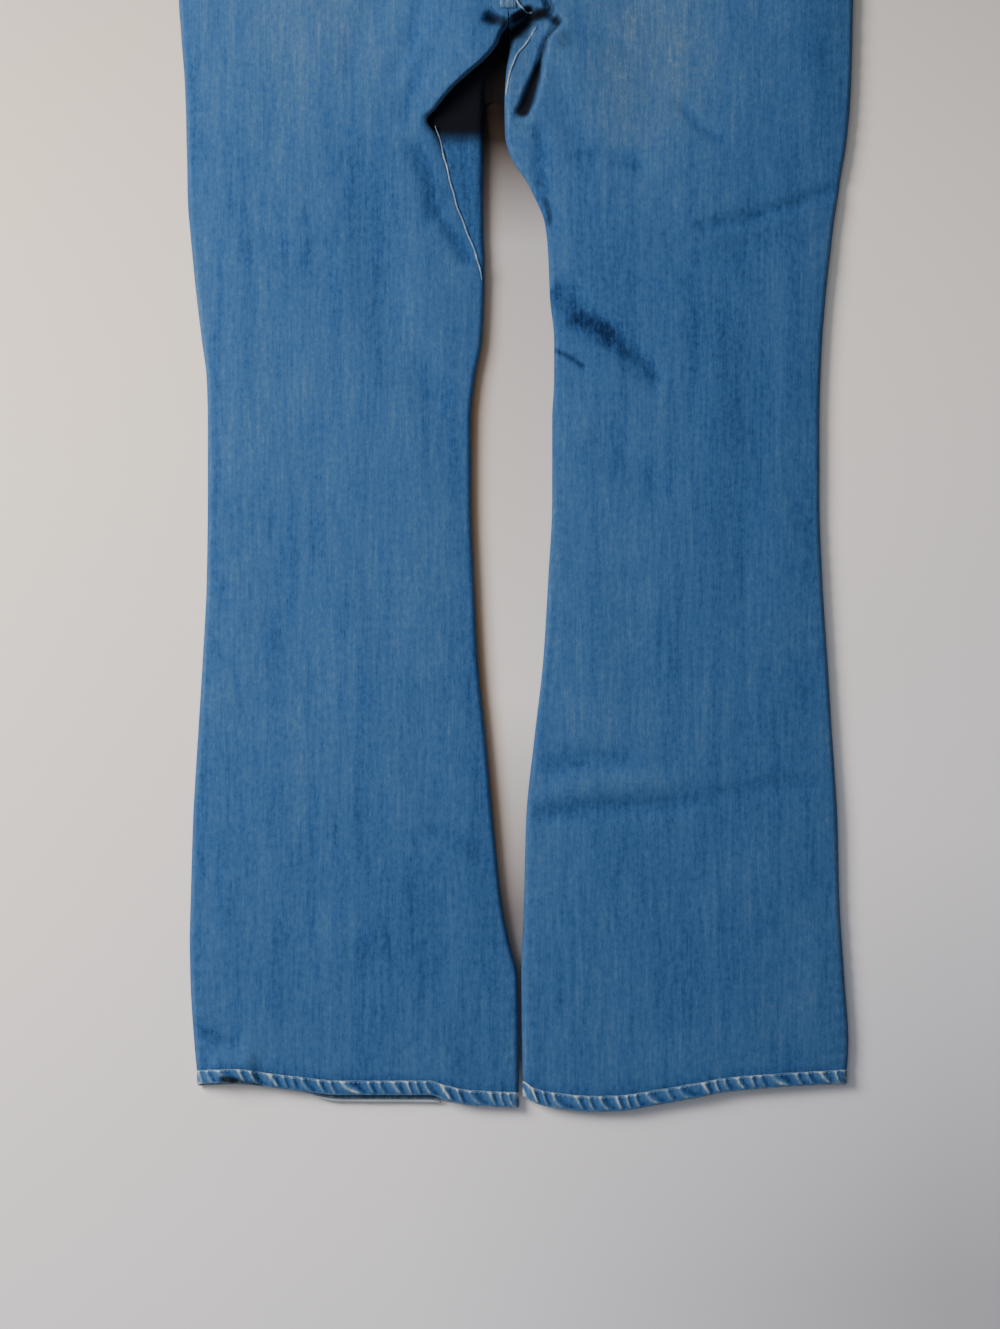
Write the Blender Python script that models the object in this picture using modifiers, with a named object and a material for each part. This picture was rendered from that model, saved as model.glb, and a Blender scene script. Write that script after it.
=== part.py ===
"""Bootcut jeans laid flat on their back, front side up.

Each cut piece is a cloth wall of its own. Left and right are the wearer's, so the right leg is at -X.
The waist points along +Y, and the jeans lie on the plane Z = 0. Sizes are in millimetres until the
meshes are made. A height is measured along Y from the lowest point of the hems.
"""

import math

import bmesh
import bpy
import numpy as np

# Driving sizes of the cloth, in millimetres.
CLOTH = 1.2
SEAM_GAP = 0.3
HEM_CLOTH = 2.6
HEM_DEPTH = 12.0
BAND_CLOTH = 2.2
BAND_DEPTH = 38.0
EDGE_RADIUS = 4.5
SEAT_LIFT = 1.6
LAYER = CLOTH + SEAM_GAP
SIDE_TOP = 1008.0
CENTRE_FRONT_TOP = 988.0
CENTRE_BACK_TOP = 1020.0
MID_LENGTH = 529.0
FLY_FOOT = 848.0
FLY_OVERLAP = 8.0
PIT_FLOOR = 6.0
POCKET_DEPTH = 75.0
POCKET_WIDTH = 95.0
ROPE_PITCH = 10.0
ROPE_HEIGHT = 0.8
RISE_WIDTH = 12.0
BAND_PROUD = 0.5
BAND_LAP = 17.0
BAND_TAPER = 0.055
LOOP_WIDTH = 10.0
LOOP_CLOTH = 1.1
EDGE_BACK = 0.34
FRONT_LAP = 1.1
FLAT_TO_FOLD = 12.0

DENIM = ((0.055, 0.145, 0.30), 0.88, 0.0)
DENIM_WORN = ((0.12, 0.23, 0.40), 0.9, 0.0)
TWILL = ((0.10, 0.19, 0.34), 0.9, 0.0)
METAL = ((0.55, 0.42, 0.24), 0.35, 1.0)


def table(names, *rows):
    """A short table with named columns."""
    return np.array(list(rows), dtype=[(name, float) for name in names.split()])


# Edges of each leg as seen from the front. The seam is where front and back panel meet on the inner
# side, the fold is the inner edge of the back panel, and the radius is how round that edge lies.
RIGHT_LEG = table(
    "height outer fold seam radius brow",
    (0, -238, 2.2, 2.2, 4.5, 4.5),
    (38, -241, 2.2, 2.2, 4.5, 4.5),
    (98, -244, 1.5, 1.5, 4.5, 4.5),
    (128, -244.5, -5.5, -5.5, 4.5, 4.5),
    (158, -243.8, -11, -11, 4.5, 4.5),
    (218, -242, -17, -17, 4.5, 4.5),
    (278, -238.5, -22.5, -22.5, 4.5, 4.5),
    (338, -234.8, -28.5, -28.5, 4.5, 4.5),
    (398, -231.8, -31.5, -31.5, 4.5, 4.5),
    (458, -231, -33.8, -33.8, 4.5, 4.5),
    (518, -231, -33.8, -33.8, 4.5, 4.5),
    (548, -231.8, -30.8, -30.8, 4.5, 4.5),
    (578, -235.5, -25.5, -25.5, 4.5, 4.5),
    (620, -240.5, -23.6, -23.8, 4.5, 5),
    (636, -242, -23.5, -28.5, 4.5, 7),
    (657, -244, -24.5, -36, 4.5, 9),
    (683, -246, -24.8, -45.8, 4.5, 10),
    (713, -246.5, -24.8, -53.3, 4.5, 10),
    (730, -247, -24.8, -58.5, 4.2, 10),
    (742, -247.2, -24.8, -66.5, 3.2, 8),
    (750, -247.4, -24.8, -61, 2.6, 6),
    (765, -248, -24.8, -49.5, 2.4, 6),
    (777, -248.6, -21.5, -38.3, 2.4, 6),
    (787, -249.4, -16, -23.5, 2.4, 6),
    (799, -250.4, -7.5, -13.5, 2.4, 6),
    (810, -251.2, -6.3, -10.3, 2.4, 6),
    (818, -251.8, -6.15, -6.8, 2.4, 6),
    (823, -252.2, -6.15, -6.15, 2.4, 6),
    (833, -252.8, -6.15, -6.15, 2.4, 6),
    (885, -257, -4.5, -4.5, 2.4, 6),
    (950, -243, -2.2, -2.2, 2.4, 6),
    (1008, -220, -0.15, -0.15, 2.4, 6),
    (1046, -208, -0.15, -0.15, 2.4, 6),
)
LEFT_LEG = table(
    "height outer fold seam radius brow",
    (0, 247, 5, 5, 4.5, 4.5),
    (38, 249, 4.5, 4.5, 4.5, 4.5),
    (98, 246, 3.9, 3.9, 4.5, 4.5),
    (158, 242.3, 6, 6, 4.5, 4.5),
    (218, 240.8, 7.5, 7.5, 4.5, 4.5),
    (278, 237, 13.5, 13.5, 4.5, 4.5),
    (338, 233.3, 20.3, 20.3, 4.5, 4.5),
    (398, 229.5, 24, 24, 4.5, 4.5),
    (458, 227.3, 27, 27, 4.5, 4.5),
    (518, 227.3, 27, 27, 4.5, 4.5),
    (548, 228, 28.5, 28.5, 4.5, 4.5),
    (578, 229.5, 28.5, 28.5, 4.5, 4.5),
    (608, 231.8, 25.5, 25.5, 4.5, 4.5),
    (642, 235.5, 24, 24, 4.5, 4.5),
    (664, 238, 21.8, 21.8, 4.5, 4.5),
    (687, 241.5, 12.8, 12.8, 4.5, 4.5),
    (698, 243, 6.8, 6.8, 4.5, 4.5),
    (709, 245, -0.8, -0.8, 4.5, 4.5),
    (720, 246.8, -6, -6, 4.5, 4.5),
    (732, 248.3, -8.3, -8.3, 4.5, 4.5),
    (755, 250.3, -8.6, -8.6, 4.5, 4.5),
    (777, 251.3, -7.5, -7.5, 4.5, 4.5),
    (801, 252, -4.5, -4.5, 3.2, 4.5),
    (812, 252.2, -4.9, -4.9, 2.4, 4.5),
    (818, 252.3, -5.1, -5.1, 2.4, 5),
    (825, 252.4, -5.85, -5.85, 2.4, 5),
    (833, 252.6, -5.85, -5.85, 2.4, 5),
    (885, 257, -4.2, -4.2, 2.4, 5),
    (950, 243, -1.9, -1.9, 2.4, 5),
    (1008, 220, 0.15, 0.15, 2.4, 5),
    (1046, 208, 0.15, 0.15, 2.4, 5),
)
# How far the front stands over the back in the middle of a leg, and what changes at the crotch:
# spread keeps that height up to the inner edge, and joined is 1 where the two halves are sewn together.
BODY = table(
    "height crown spread joined lift",
    (0, 2.5, 0, 0, 0),
    (300, 3, 0, 0, 0),
    (520, 3.5, 0, 0, 0),
    (700, 5, 0, 0, 0),
    (760, 6, 1, 0, 0),
    (770, 6, 1, 0, 0),
    (792, 6.5, 1, 0, SEAT_LIFT),
    (811, 7, 1, 0, SEAT_LIFT),
    (817, 7, 1, 1, SEAT_LIFT),
    (900, 7, 1, 1, SEAT_LIFT),
    (1046, 4, 1, 1, SEAT_LIFT),
)
# The deep fold beside the left inseam: the strip next to the seam lies lower than the thigh, and a slit
# runs between them. Its place, half width and how far it is open, from its foot to where it fades out.
SLIT = table(
    "height place half_width open step",
    (738, 4, 6, 0, 0),
    (747, 5, 6, 0.3, 2),
    (754, 8, 5.5, 0.8, 7),
    (765, 11.5, 5, 1, 11),
    (777, 15.5, 3.6, 1, 12),
    (788, 18.5, 2.4, 0.9, 12),
    (799, 21.5, 2.2, 0.7, 12),
    (808, 27, 2.4, 0.7, 13),
    (814, 31, 3, 0.7, 13),
    (819, 28.5, 3, 0.5, 9),
    (824, 25, 2.5, 0.4, 3),
    (833, 22, 2.5, 0.3, 0),
    (858, 18, 3, 0.1, 0),
    (880, 16, 3, 0, 0),
)
# The arch under the front seam: the front ends above this line, and lies low below it.
ARCH = table("x height", (-6, 813), (-1, 816.5), (3, 819.5), (9, 823), (15, 823.5), (23, 821), (40, 812))
# Bottom edge of the hems: how far it lies above the lowest point, front and back.
RIGHT_HEM = table(
    "x front back",
    (-238, 20.7, 19),
    (-210, 22.2, 20),
    (-185, 18.5, 18),
    (-161, 15.5, 14.5),
    (-132, 12.5, 9),
    (-65, 12.5, 8.5),
    (-51, 8.3, 7),
    (-36, 5, 5),
    (1, 2.7, 2.7),
)
LEFT_HEM = table(
    "x front back",
    (6, 11.3, 11),
    (15, 5.9, 7),
    (36, 1.8, 3),
    (59, 0, 1.5),
    (77, 0.5, 2),
    (105, 5, 5.5),
    (138, 11, 11),
    (156, 14.6, 14),
    (185, 17.4, 17),
    (213, 19.4, 19),
    (246, 21.2, 20),
)
# Creases of the front panels: a soft trough along each line, or a ridge where the depth is negative.
CREASES = table(
    "x0 height0 x1 height1 width depth",
    (-124, 720, -98, 570, 24, 1.6),
    (-83, 578, -61, 533, 13, 1.2),
    (-64, 210, -27, 188, 8, 1.0),
    (-74, 717, -40, 636, 8, 2.2),
    (-23, 819, -15, 816, 5, 8),
    (122, 754, 153, 726, 5, 1.2),
    (42, 716, 95, 707, 9, 1.4),
    (141, 663, 239, 690, 8, 2.0),
    (18, 735, 24, 663, 8, 1.5),
    (30, 612, 46, 590, 9, 3.0),
    (46, 590, 86, 566, 9, 4.0),
    (86, 566, 106, 544, 9, 2.5),
    (56, 500, 110, 463, 18, 1.4),
    (19, 222, 118, 229, 9, 3.0),
    (118, 229, 222, 245, 8, 1.2),
    (24, 240, 120, 247, 9, -1.2),
    (23, 258, 86, 264, 8, 1.3),
    (-226, 14, -196, 17, 13, -4.5),
)
# Heights of the sections of each panel.
LEG_ROWS = (30, 60, 105, 150, 190, 290, 345, 400, 455, 505, 548, 580)
CROTCH_ROWS = (742, 750, 758, 766, 775, 784, 793, 801, 807, 811, 815, 818, 821, 824, 828)
FOLD_ROWS_RIGHT = (240, 605, 622, 640, 660, 683, 705, 722, 733)
FOLD_ROWS_LEFT = (210, 222, 231, 243, 256, 535, 558, 569, 595, 608, 635, 664, 687, 709, 725)
HIP_ROWS = (836, 848, 856, 863, 885, 910, 931, 935.5, 939, 946, 958, 980)
BACK_ROWS = (40, 110, 190, 270, 350, 430, 510, 560, 605)
BACK_HIP_ROWS = (860, 900, 940, 965)
# Turn of each column round an edge, in degrees: the step next to the seam is the smallest.
EDGE_TURN = np.radians((90.0, 80.0, 56.0, 29.0, 0.0))
BACK_TURN = np.radians((0.0, 10.0, 45.0, 90.0))


def at(rows, column, where, key="height"):
    """A column's value: a cubic between the table's rows that never overshoots them."""
    place = rows[key]
    value = rows[column]
    step = np.diff(place)
    slope = np.diff(value) / step
    product = slope[:-1] * slope[1:]
    rising = product > 0
    total = np.where(rising, slope[:-1] + slope[1:], 1)
    tangent = np.concatenate([slope[:1], np.where(rising, 2 * product / total, 0), slope[-1:]])
    x = np.clip(np.asarray(where, float), place[0], place[-1])
    k = np.clip(np.searchsorted(place, x) - 1, 0, len(step) - 1)
    t = (x - place[k]) / step[k]
    ends = value[k] * (1 + 2 * t) * (1 - t) ** 2 + value[k + 1] * t * t * (3 - 2 * t)
    return ends + step[k] * (tangent[k] * t * (1 - t) ** 2 - tangent[k + 1] * t * t * (1 - t))


def smooth_step(value):
    """0 below 0, 1 above 1, and a soft rise between."""
    t = np.clip(value, 0, 1)
    return t * t * (3 - 2 * t)


def creases(x, height):
    """Sum of the soft troughs: each falls off with the distance from its line."""
    total = 0
    for crease in CREASES:
        along_x = crease["x1"] - crease["x0"]
        along_h = crease["height1"] - crease["height0"]
        length = math.hypot(along_x, along_h)
        across_x = x - crease["x0"]
        across_h = height - crease["height0"]
        t = np.clip((across_x * along_x + across_h * along_h) / length**2, 0, 1)
        distance = np.hypot(across_x - t * along_x, across_h - t * along_h)
        total = total + crease["depth"] * np.exp(-((distance / crease["width"]) ** 2))
    return total


def front_surface(leg, x, height):
    """Z of the front's outer side.

    It is flat at twice the edge radius, crowned between its edges, swollen at the crotch, and creased.
    On the left leg the strip, slit and arch cut into it.
    """
    outer = np.abs(x - at(leg, "outer", height))
    inner = np.abs(x - at(leg, "fold", height))
    spread = at(BODY, "spread", height)
    hold = 1 - (1 - spread) * np.exp(-inner / 25)
    crown = at(BODY, "crown", height) * (1 - np.exp(-outer / 25)) * hold
    right_swell = 11 * np.exp(-(((x + 30) / 45) ** 2) - ((height - 800) / 55) ** 2)
    left_swell = 7 * np.exp(-(((x - 45) / 45) ** 2) - ((height - 795) / 55) ** 2)
    z = 2 * EDGE_RADIUS + crown + (right_swell + left_swell) * (0.25 + 0.75 * spread)
    z = z - creases(x, height)
    if leg is LEFT_LEG:
        across = (x - at(SLIT, "place", height)) / at(SLIT, "half_width", height)
        under_arch = 1 - smooth_step((height - at(ARCH, "height", x, "x")) / 3)
        z = z - at(SLIT, "step", height) * (1 - smooth_step(0.5 + 0.5 * across)) * under_arch
        pit = smooth_step((14 - x) / 6) * smooth_step((height - 801) / 8) * under_arch
        z = z - np.maximum(z - PIT_FLOOR, 0) * pit
        z = z - np.maximum(z - PIT_FLOOR, 0) * at(SLIT, "open", height) * np.exp(-(across**4))
    return z


def centre_seam(height):
    """X of the seam between the two halves."""
    return at(RIGHT_LEG, "fold", np.maximum(height, 823)) + SEAM_GAP / 2


def raised_fly(x, height):
    """How far the left front lies over the fly pieces."""
    from_centre = x - centre_seam(height)
    return (LAYER + 0.1) * smooth_step((height - FLY_FOOT) / 7) * smooth_step((58 - from_centre) / 12)


def hook(leg, height, back):
    """The inner edge of the back panel in a section, from where it leaves the surface it lies on.

    The way runs flat, then round the fold by half a circle, then flat again over the panel up to the
    seam. It gives the point at each length along the way, and the way's whole length.
    """
    inward = 1 if leg is RIGHT_LEG else -1
    fold = at(leg, "fold", height)
    radius = at(leg, "radius", height)
    over = np.abs(fold - at(leg, "seam", height))
    angle = np.arccos(np.clip(1 - over / radius, 0, 1))
    round_length = radius * (math.pi / 2 + angle) + np.maximum(over - radius, 0)
    whole = round_length * (1 - smooth_step((height - 806) / 12))
    start = fold - inward * radius * np.sin(np.clip(whole / radius, 0, math.pi / 2))

    def point(length):
        turn = np.clip(length, 0, math.pi * radius) / radius
        rest = np.maximum(length - math.pi * radius, 0)
        before = np.minimum(length, 0)
        x = start + inward * (before + radius * np.sin(turn) - rest)
        return x, radius * (1 - np.cos(turn)) + at(BODY, "lift", height)

    open_here = 1 - at(BODY, "joined", height)
    apart = EDGE_BACK * open_here
    lying = FRONT_LAP * smooth_step((height - 785) / 15) * open_here
    return point, whole + (-apart if back else apart + lying)


def hem_line(leg, x, side):
    """Height of the hem's lower edge."""
    return at(RIGHT_HEM if leg is RIGHT_LEG else LEFT_HEM, side, x, "x")


def along_leg(leg, x, height, side, top):
    """Real height of a section's point: the hem and the waist bend the sections near them."""
    falling = np.clip(1 - height / 120, 0, 1) ** 2
    half = np.abs(at(leg, "outer", height))
    across = np.cos(0.5 * math.pi * np.clip(np.abs(x) / half, 0, 1)) ** 2
    rising = smooth_step((height - 850) / (SIDE_TOP - 850))
    return height + hem_line(leg, x, side) * falling + (top - SIDE_TOP) * across * rising


def not_raised(x, height):
    """A front that lies as it does, with nothing under it."""
    return 0 * x


def front_section(leg, height, count, outer_edge=None, rise=not_raised):
    """Columns of a front piece, from its outer edge to its inner one, as x and z for each height.

    Each edge is a quarter of an ellipse from the brow down to the seam. Where the piece ends on top of
    another one, as at the pocket and the centre seam, the ellipse lies flat.
    """
    inward = 1 if leg is RIGHT_LEG else -1
    height = np.asarray(height, float).reshape(-1, 1)
    joined = at(BODY, "joined", height)
    outer = at(leg, "outer", height)
    ends_flat = np.zeros_like(height)
    if outer_edge is not None:
        edge = outer_edge(height)
        ends_flat = np.where(np.abs(edge - outer) > 1, 1, 0)
        outer = edge
    turn = EDGE_TURN
    brow = outer + inward * EDGE_RADIUS
    seam_z = EDGE_RADIUS + SEAM_GAP / 2
    seam_z = seam_z + (front_surface(leg, outer, height) + rise(outer, height) - seam_z) * ends_flat
    brow_z = front_surface(leg, brow, height) + rise(brow, height)
    x_outer = brow + (outer - brow) * np.sin(turn)
    z_outer = seam_z + (brow_z - seam_z) * np.cos(turn)
    lies_flat = front_surface(leg, x_outer, height) + rise(x_outer, height)
    z_outer = z_outer + (lies_flat - z_outer) * ends_flat
    point, length = hook(leg, height, back=False)
    seam, seam_low = point(length)
    if rise is raised_fly:
        seam = seam - np.where(height > FLY_FOOT + 10, FLY_OVERLAP, 0)
    seam_high = front_surface(leg, seam, height) + rise(seam, height)
    seam_z = seam_low + (seam_high - seam_low) * joined
    inner_brow = seam - inward * at(leg, "brow", height)
    inner_z = front_surface(leg, inner_brow, height) + rise(inner_brow, height)
    x_inner = inner_brow + (seam - inner_brow) * np.sin(turn)
    z_inner = seam_z + (inner_z - seam_z) * np.cos(turn)
    lies_flat = front_surface(leg, x_inner, height) + rise(x_inner, height)
    z_inner = z_inner + (lies_flat - z_inner) * joined
    middle = middle_columns(leg, height, brow, inner_brow, count)
    z_middle = front_surface(leg, middle, height) + rise(middle, height)
    x = np.concatenate([x_outer, middle, x_inner[:, ::-1]], axis=1)
    z = np.concatenate([z_outer, z_middle, z_inner[:, ::-1]], axis=1)
    return x, z


def middle_columns(leg, height, brow, inner_brow, count):
    """Columns between the two brows. On the left leg five of them follow the slit."""
    even = np.linspace(0, 1, count + 2)[1:-1]
    if leg is RIGHT_LEG:
        return brow + (inner_brow - brow) * even
    place = at(SLIT, "place", height)
    half = at(SLIT, "half_width", height)
    shown = smooth_step((height - 715) / 25) * (1 - smooth_step((height - 865) / 30))
    from_edge = np.linspace(34, 8, 5)
    loose = inner_brow + from_edge
    lips = place + half * np.array([2.2, 1.0, 0.0, -1.0, -2.2])
    near = loose + (lips - loose) * shown
    near = np.maximum(near, inner_brow + np.array([5, 4, 3, 2, 1]))
    first = near[:, :1]
    return np.concatenate([brow + (first - brow) * even, near], axis=1)


def back_section(leg, height, bottom=2, turned=7):
    """Columns of a back piece: up the outer edge, flat on the surface, and round the inner fold."""
    inward = 1 if leg is RIGHT_LEG else -1
    height = np.asarray(height, float).reshape(-1, 1)
    outer = at(leg, "outer", height)
    lift = at(BODY, "lift", height)
    turn = BACK_TURN
    x_outer = outer + inward * EDGE_RADIUS * (1 - np.cos(turn))
    z_outer = lift + (EDGE_RADIUS - SEAM_GAP / 2 - lift) * (1 - np.sin(turn))
    point, length = hook(leg, height, back=True)
    part = np.linspace(0, 1, turned) ** 0.75
    part[-2] = max(part[-2], 0.96)
    length = length * part - FLAT_TO_FOLD * (1 - part)
    x_inner, z_inner = point(length)
    even = np.linspace(0, 1, bottom + 2)[1:-1]
    first = x_inner[:, :1]
    x_flat = x_outer[:, -1:] + (first - x_outer[:, -1:]) * even
    z_flat = lift + 0 * x_flat
    return np.concatenate([x_outer, x_flat, x_inner], 1), np.concatenate([z_outer, z_flat, z_inner], 1)


def new_object(name, mesh, finish):
    """A named object in the jeans' collection, with its material."""
    colour, roughness, metallic = finish
    material = bpy.data.materials.new(name)
    material.use_nodes = True
    shader = material.node_tree.nodes["Principled BSDF"]
    shader.inputs["Base Color"].default_value = (*colour, 1)
    shader.inputs["Roughness"].default_value = roughness
    shader.inputs["Metallic"].default_value = metallic
    mesh.materials.append(material)
    made = bpy.data.objects.new(name, mesh)
    jeans.objects.link(made)
    made.parent = waist_to_hem
    return made


def sheet_mesh(name, x, y, z):
    """A mesh from a grid of points, rows by columns, in millimetres."""
    rows, columns = x.shape
    grid = bmesh.new()
    bmesh.ops.create_grid(grid, x_segments=columns - 1, y_segments=rows - 1, size=1)
    mesh = bpy.data.meshes.new(name)
    grid.to_mesh(mesh)
    grid.free()
    points = np.stack([x, y - MID_LENGTH, z], axis=2) / 1000
    mesh.vertices.foreach_set("co", points.astype(np.float32).ravel())
    mesh.update()
    return mesh


def cloth(name, x, y, z, thickness=CLOTH, finish=DENIM):
    """A cloth wall: the grid is its outer side, and the thickness goes inwards."""
    made = new_object(name, sheet_mesh(name, x, y, z), finish)
    wall = made.modifiers.new("thickness", "SOLIDIFY")
    wall.thickness = thickness / 1000
    wall.offset = -1
    made.data.shade_smooth()
    return made


def facing_up(leg, *grids):
    """Columns ordered so that the outer side faces up."""
    return grids if leg is RIGHT_LEG else tuple(grid[:, ::-1] for grid in grids)


def facing_down(leg, *grids):
    """Columns ordered so that the outer side faces down."""
    return tuple(grid[:, ::-1] for grid in grids) if leg is RIGHT_LEG else grids


def pocket_edge(leg):
    """The front's outer edge: the side seam, and above the pocket's foot a quarter ellipse inwards."""
    inward = 1 if leg is RIGHT_LEG else -1

    def edge(height):
        part = np.clip((SIDE_TOP - height) / POCKET_DEPTH, 0, 1)
        return at(leg, "outer", height) + inward * POCKET_WIDTH * np.sqrt(1 - part**2)

    return edge


def front_grid(leg):
    """A front's outer side from hem to waistband, with the pocket's scoop at its upper outer corner."""
    extra = FOLD_ROWS_RIGHT if leg is RIGHT_LEG else FOLD_ROWS_LEFT
    ends = (HEM_DEPTH + SEAM_GAP, SIDE_TOP - SEAM_GAP)
    heights = np.array(sorted({*ends, *LEG_ROWS, *extra, *CROTCH_ROWS, *HIP_ROWS}))
    rise = not_raised if leg is RIGHT_LEG else raised_fly
    count = 6 if leg is RIGHT_LEG else 4
    x, z = front_section(leg, heights, count, pocket_edge(leg), rise)
    y = along_leg(leg, x, heights.reshape(-1, 1), "front", CENTRE_FRONT_TOP)
    return heights, *facing_up(leg, x, y, z)


def on_grid(grid, low, high, x_of):
    """Rows of a grid between two heights, read at other x: the points lie on the grid's own facets."""
    heights, grid_x, grid_y, grid_z = grid
    rows = np.flatnonzero((heights >= low) & (heights <= high))
    x = np.array([x_of(heights[row]) for row in rows])
    y = np.array([np.interp(line, grid_x[row], grid_y[row]) for line, row in zip(x, rows)])
    z = np.array([np.interp(line, grid_x[row], grid_z[row]) for line, row in zip(x, rows)])
    return x, y, z


def yoke_line(x):
    """Height of the seam under the yoke: lowest at the centre back."""
    return 958 + 18 * np.clip(np.abs(x) / 240, 0, 1)


def back_panel(name, leg):
    """A back from hem to yoke. Its lower inner edge turns over onto the front of the right leg."""
    folded = FOLD_ROWS_RIGHT[2:8] if leg is RIGHT_LEG else FOLD_ROWS_LEFT[10:]
    first = HEM_DEPTH + SEAM_GAP
    heights = np.array(sorted({first, *BACK_ROWS, *folded, *CROTCH_ROWS[::2], *BACK_HIP_ROWS}))
    x, z = back_section(leg, heights)
    tall = heights.reshape(-1, 1)
    y = along_leg(leg, x, np.minimum(tall, 850), "back", CENTRE_BACK_TOP) + np.maximum(tall - 850, 0)
    top = yoke_line(x) - SEAM_GAP / 2
    y = y + (top - heights[-1]) * smooth_step((tall - 850) / (heights[-1] - 850))
    return cloth(name, *facing_down(leg, x, y, z))


def yoke(name, leg):
    """The shaped strip between back panel and waistband."""
    x, z = back_section(leg, [BACK_HIP_ROWS[-1], 985.0, SIDE_TOP - SEAM_GAP], bottom=4, turned=2)
    start = yoke_line(x) + SEAM_GAP
    top = band_line(x, "back") - 2 * SEAM_GAP
    part = np.array([0.0, 0.5, 1.0]).reshape(-1, 1)
    return cloth(name, *facing_down(leg, x, start + (top - start) * part, z))


def band_line(x, side):
    """Height of the waistband's lower edge."""
    half = abs(at(RIGHT_LEG, "outer", SIDE_TOP))
    across = np.cos(0.5 * math.pi * np.clip(np.abs(x) / half, 0, 1)) ** 2
    centre = CENTRE_FRONT_TOP if side == "front" else CENTRE_BACK_TOP
    return SIDE_TOP + (centre - SIDE_TOP) * across


def band_surface(x):
    """Z of the waistband's outer side on the front."""
    right = front_surface(RIGHT_LEG, x, SIDE_TOP)
    return np.where(x < 0, right, front_surface(LEFT_LEG, x, SIDE_TOP)) + BAND_PROUD


def waistband():
    """One strip round the flattened waist. Its left end lies over its right end at the centre front."""
    flat = abs(at(RIGHT_LEG, "outer", SIDE_TOP)) - EDGE_RADIUS
    over = np.linspace(-BAND_LAP, flat, 20)
    lifted = (BAND_CLOTH + SEAM_GAP) * smooth_step((BAND_LAP + 12 - over) / 10)
    turn = np.radians((30, 60, 90))
    top = band_surface(flat)
    down_x = flat + EDGE_RADIUS * np.sin(turn)
    down_z = EDGE_RADIUS + (top - EDGE_RADIUS) * np.cos(turn)
    under_x = flat + EDGE_RADIUS * np.cos(turn)
    under_z = EDGE_RADIUS + (SEAT_LIFT - EDGE_RADIUS) * np.sin(turn)
    behind = np.linspace(flat, -flat, 12)[1:-1]
    below = np.linspace(-flat, BAND_LAP, 20)
    x = np.concatenate([over, down_x, under_x, behind, -under_x[::-1], -down_x[::-1], below])
    z = np.concatenate([
        band_surface(over) + lifted,
        down_z,
        under_z,
        SEAT_LIFT + 0 * behind,
        under_z[::-1],
        down_z[::-1],
        band_surface(below),
    ])
    line = np.where(z > EDGE_RADIUS - 0.01, band_line(x, "front"), band_line(x, "back"))
    part = np.array([0.0, 0.5, 1.0]).reshape(-1, 1)
    z = np.broadcast_to(z, (3, len(z)))
    return wall("waistband", x * (1 - BAND_TAPER * part), line + BAND_DEPTH * part, z, BAND_CLOTH)


def belt_loop(name, x, side):
    """A folded strip from below the waistband to its top."""
    across = x + LOOP_WIDTH * np.array([-0.5, 0.0, 0.5])
    part = np.array([-9.0, -3.0, 3.0, BAND_DEPTH * 0.5, BAND_DEPTH - 3]).reshape(-1, 1)
    y = band_line(across, side) + part
    narrowed = across * (1 - BAND_TAPER * np.clip(part / BAND_DEPTH, 0, 1))
    if side == "back":
        z = np.full_like(y, SEAT_LIFT - SEAM_GAP - LOOP_CLOTH)
        return cloth(name, narrowed[:, ::-1], y[:, ::-1], z, LOOP_CLOTH)
    arch = np.array([0.0, 0.1, 0.6, 1.4, 0.8]).reshape(-1, 1)
    z = band_surface(across).max() + SEAM_GAP + LOOP_CLOTH + 0.1 + arch + 0 * y
    return cloth(name, narrowed, y, z, LOOP_CLOTH)


def pocket_facing(name, leg):
    """The cloth seen in the front pocket's mouth. It lies one layer under the front panel."""
    inward = 1 if leg is RIGHT_LEG else -1
    tall = np.array([936.5, 939, 946, 958, 980, SIDE_TOP - SEAM_GAP]).reshape(-1, 1)
    outer = at(leg, "outer", tall)
    inner = pocket_edge(leg)(tall) + inward * 7
    brow = outer + inward * EDGE_RADIUS
    low = EDGE_RADIUS + SEAM_GAP
    under = LAYER + 0.3
    x_edge = brow + (outer - brow) * np.sin(EDGE_TURN)
    z_edge = low + (front_surface(leg, brow, tall) - under - low) * np.cos(EDGE_TURN)
    x_flat = brow + (inner - brow) * np.linspace(0, 1, 5)[1:]
    z_flat = front_surface(leg, x_flat, tall) - under
    x = np.concatenate([x_edge, x_flat], axis=1)
    z = np.concatenate([z_edge, z_flat], axis=1)
    y = along_leg(leg, x, tall, "front", CENTRE_FRONT_TOP)
    y[-1] -= 0.4
    return cloth(name, *facing_up(leg, x, y, z), finish=TWILL)


def fly_facing(left_grid):
    """The facing sewn under the left front's edge, with the fly's curved stitching through it."""
    offsets = np.array([1.0, 10.0, 22.0, 34.0, 44.0])
    x, y, z = on_grid(left_grid, 860, 1000, lambda height: centre_seam(height) + offsets)
    return cloth("fly_facing", x, y, z - LAYER - 0.2, 1.0, TWILL)


def zip_tape(right_grid, left_grid):
    """The closed zip's tape and teeth as one strip, behind the fly."""
    right_side = np.array([-12.0, -6.0])
    left_side = np.array([2.0, 8.0, 14.0])
    x, y, z = on_grid(right_grid, 860, 1000, lambda height: centre_seam(height) + right_side)
    more_x, more_y, more_z = on_grid(left_grid, 860, 1000, lambda height: centre_seam(height) + left_side)
    x = np.concatenate([x, more_x], axis=1)
    y = np.concatenate([y, more_y], axis=1)
    z = np.concatenate([z - LAYER - 0.4, more_z - 2 * LAYER - 0.2], axis=1)
    z = np.minimum(z, z[:, :1] + 0.3)
    return cloth("zip", x, y, z, 1.0, METAL)


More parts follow.
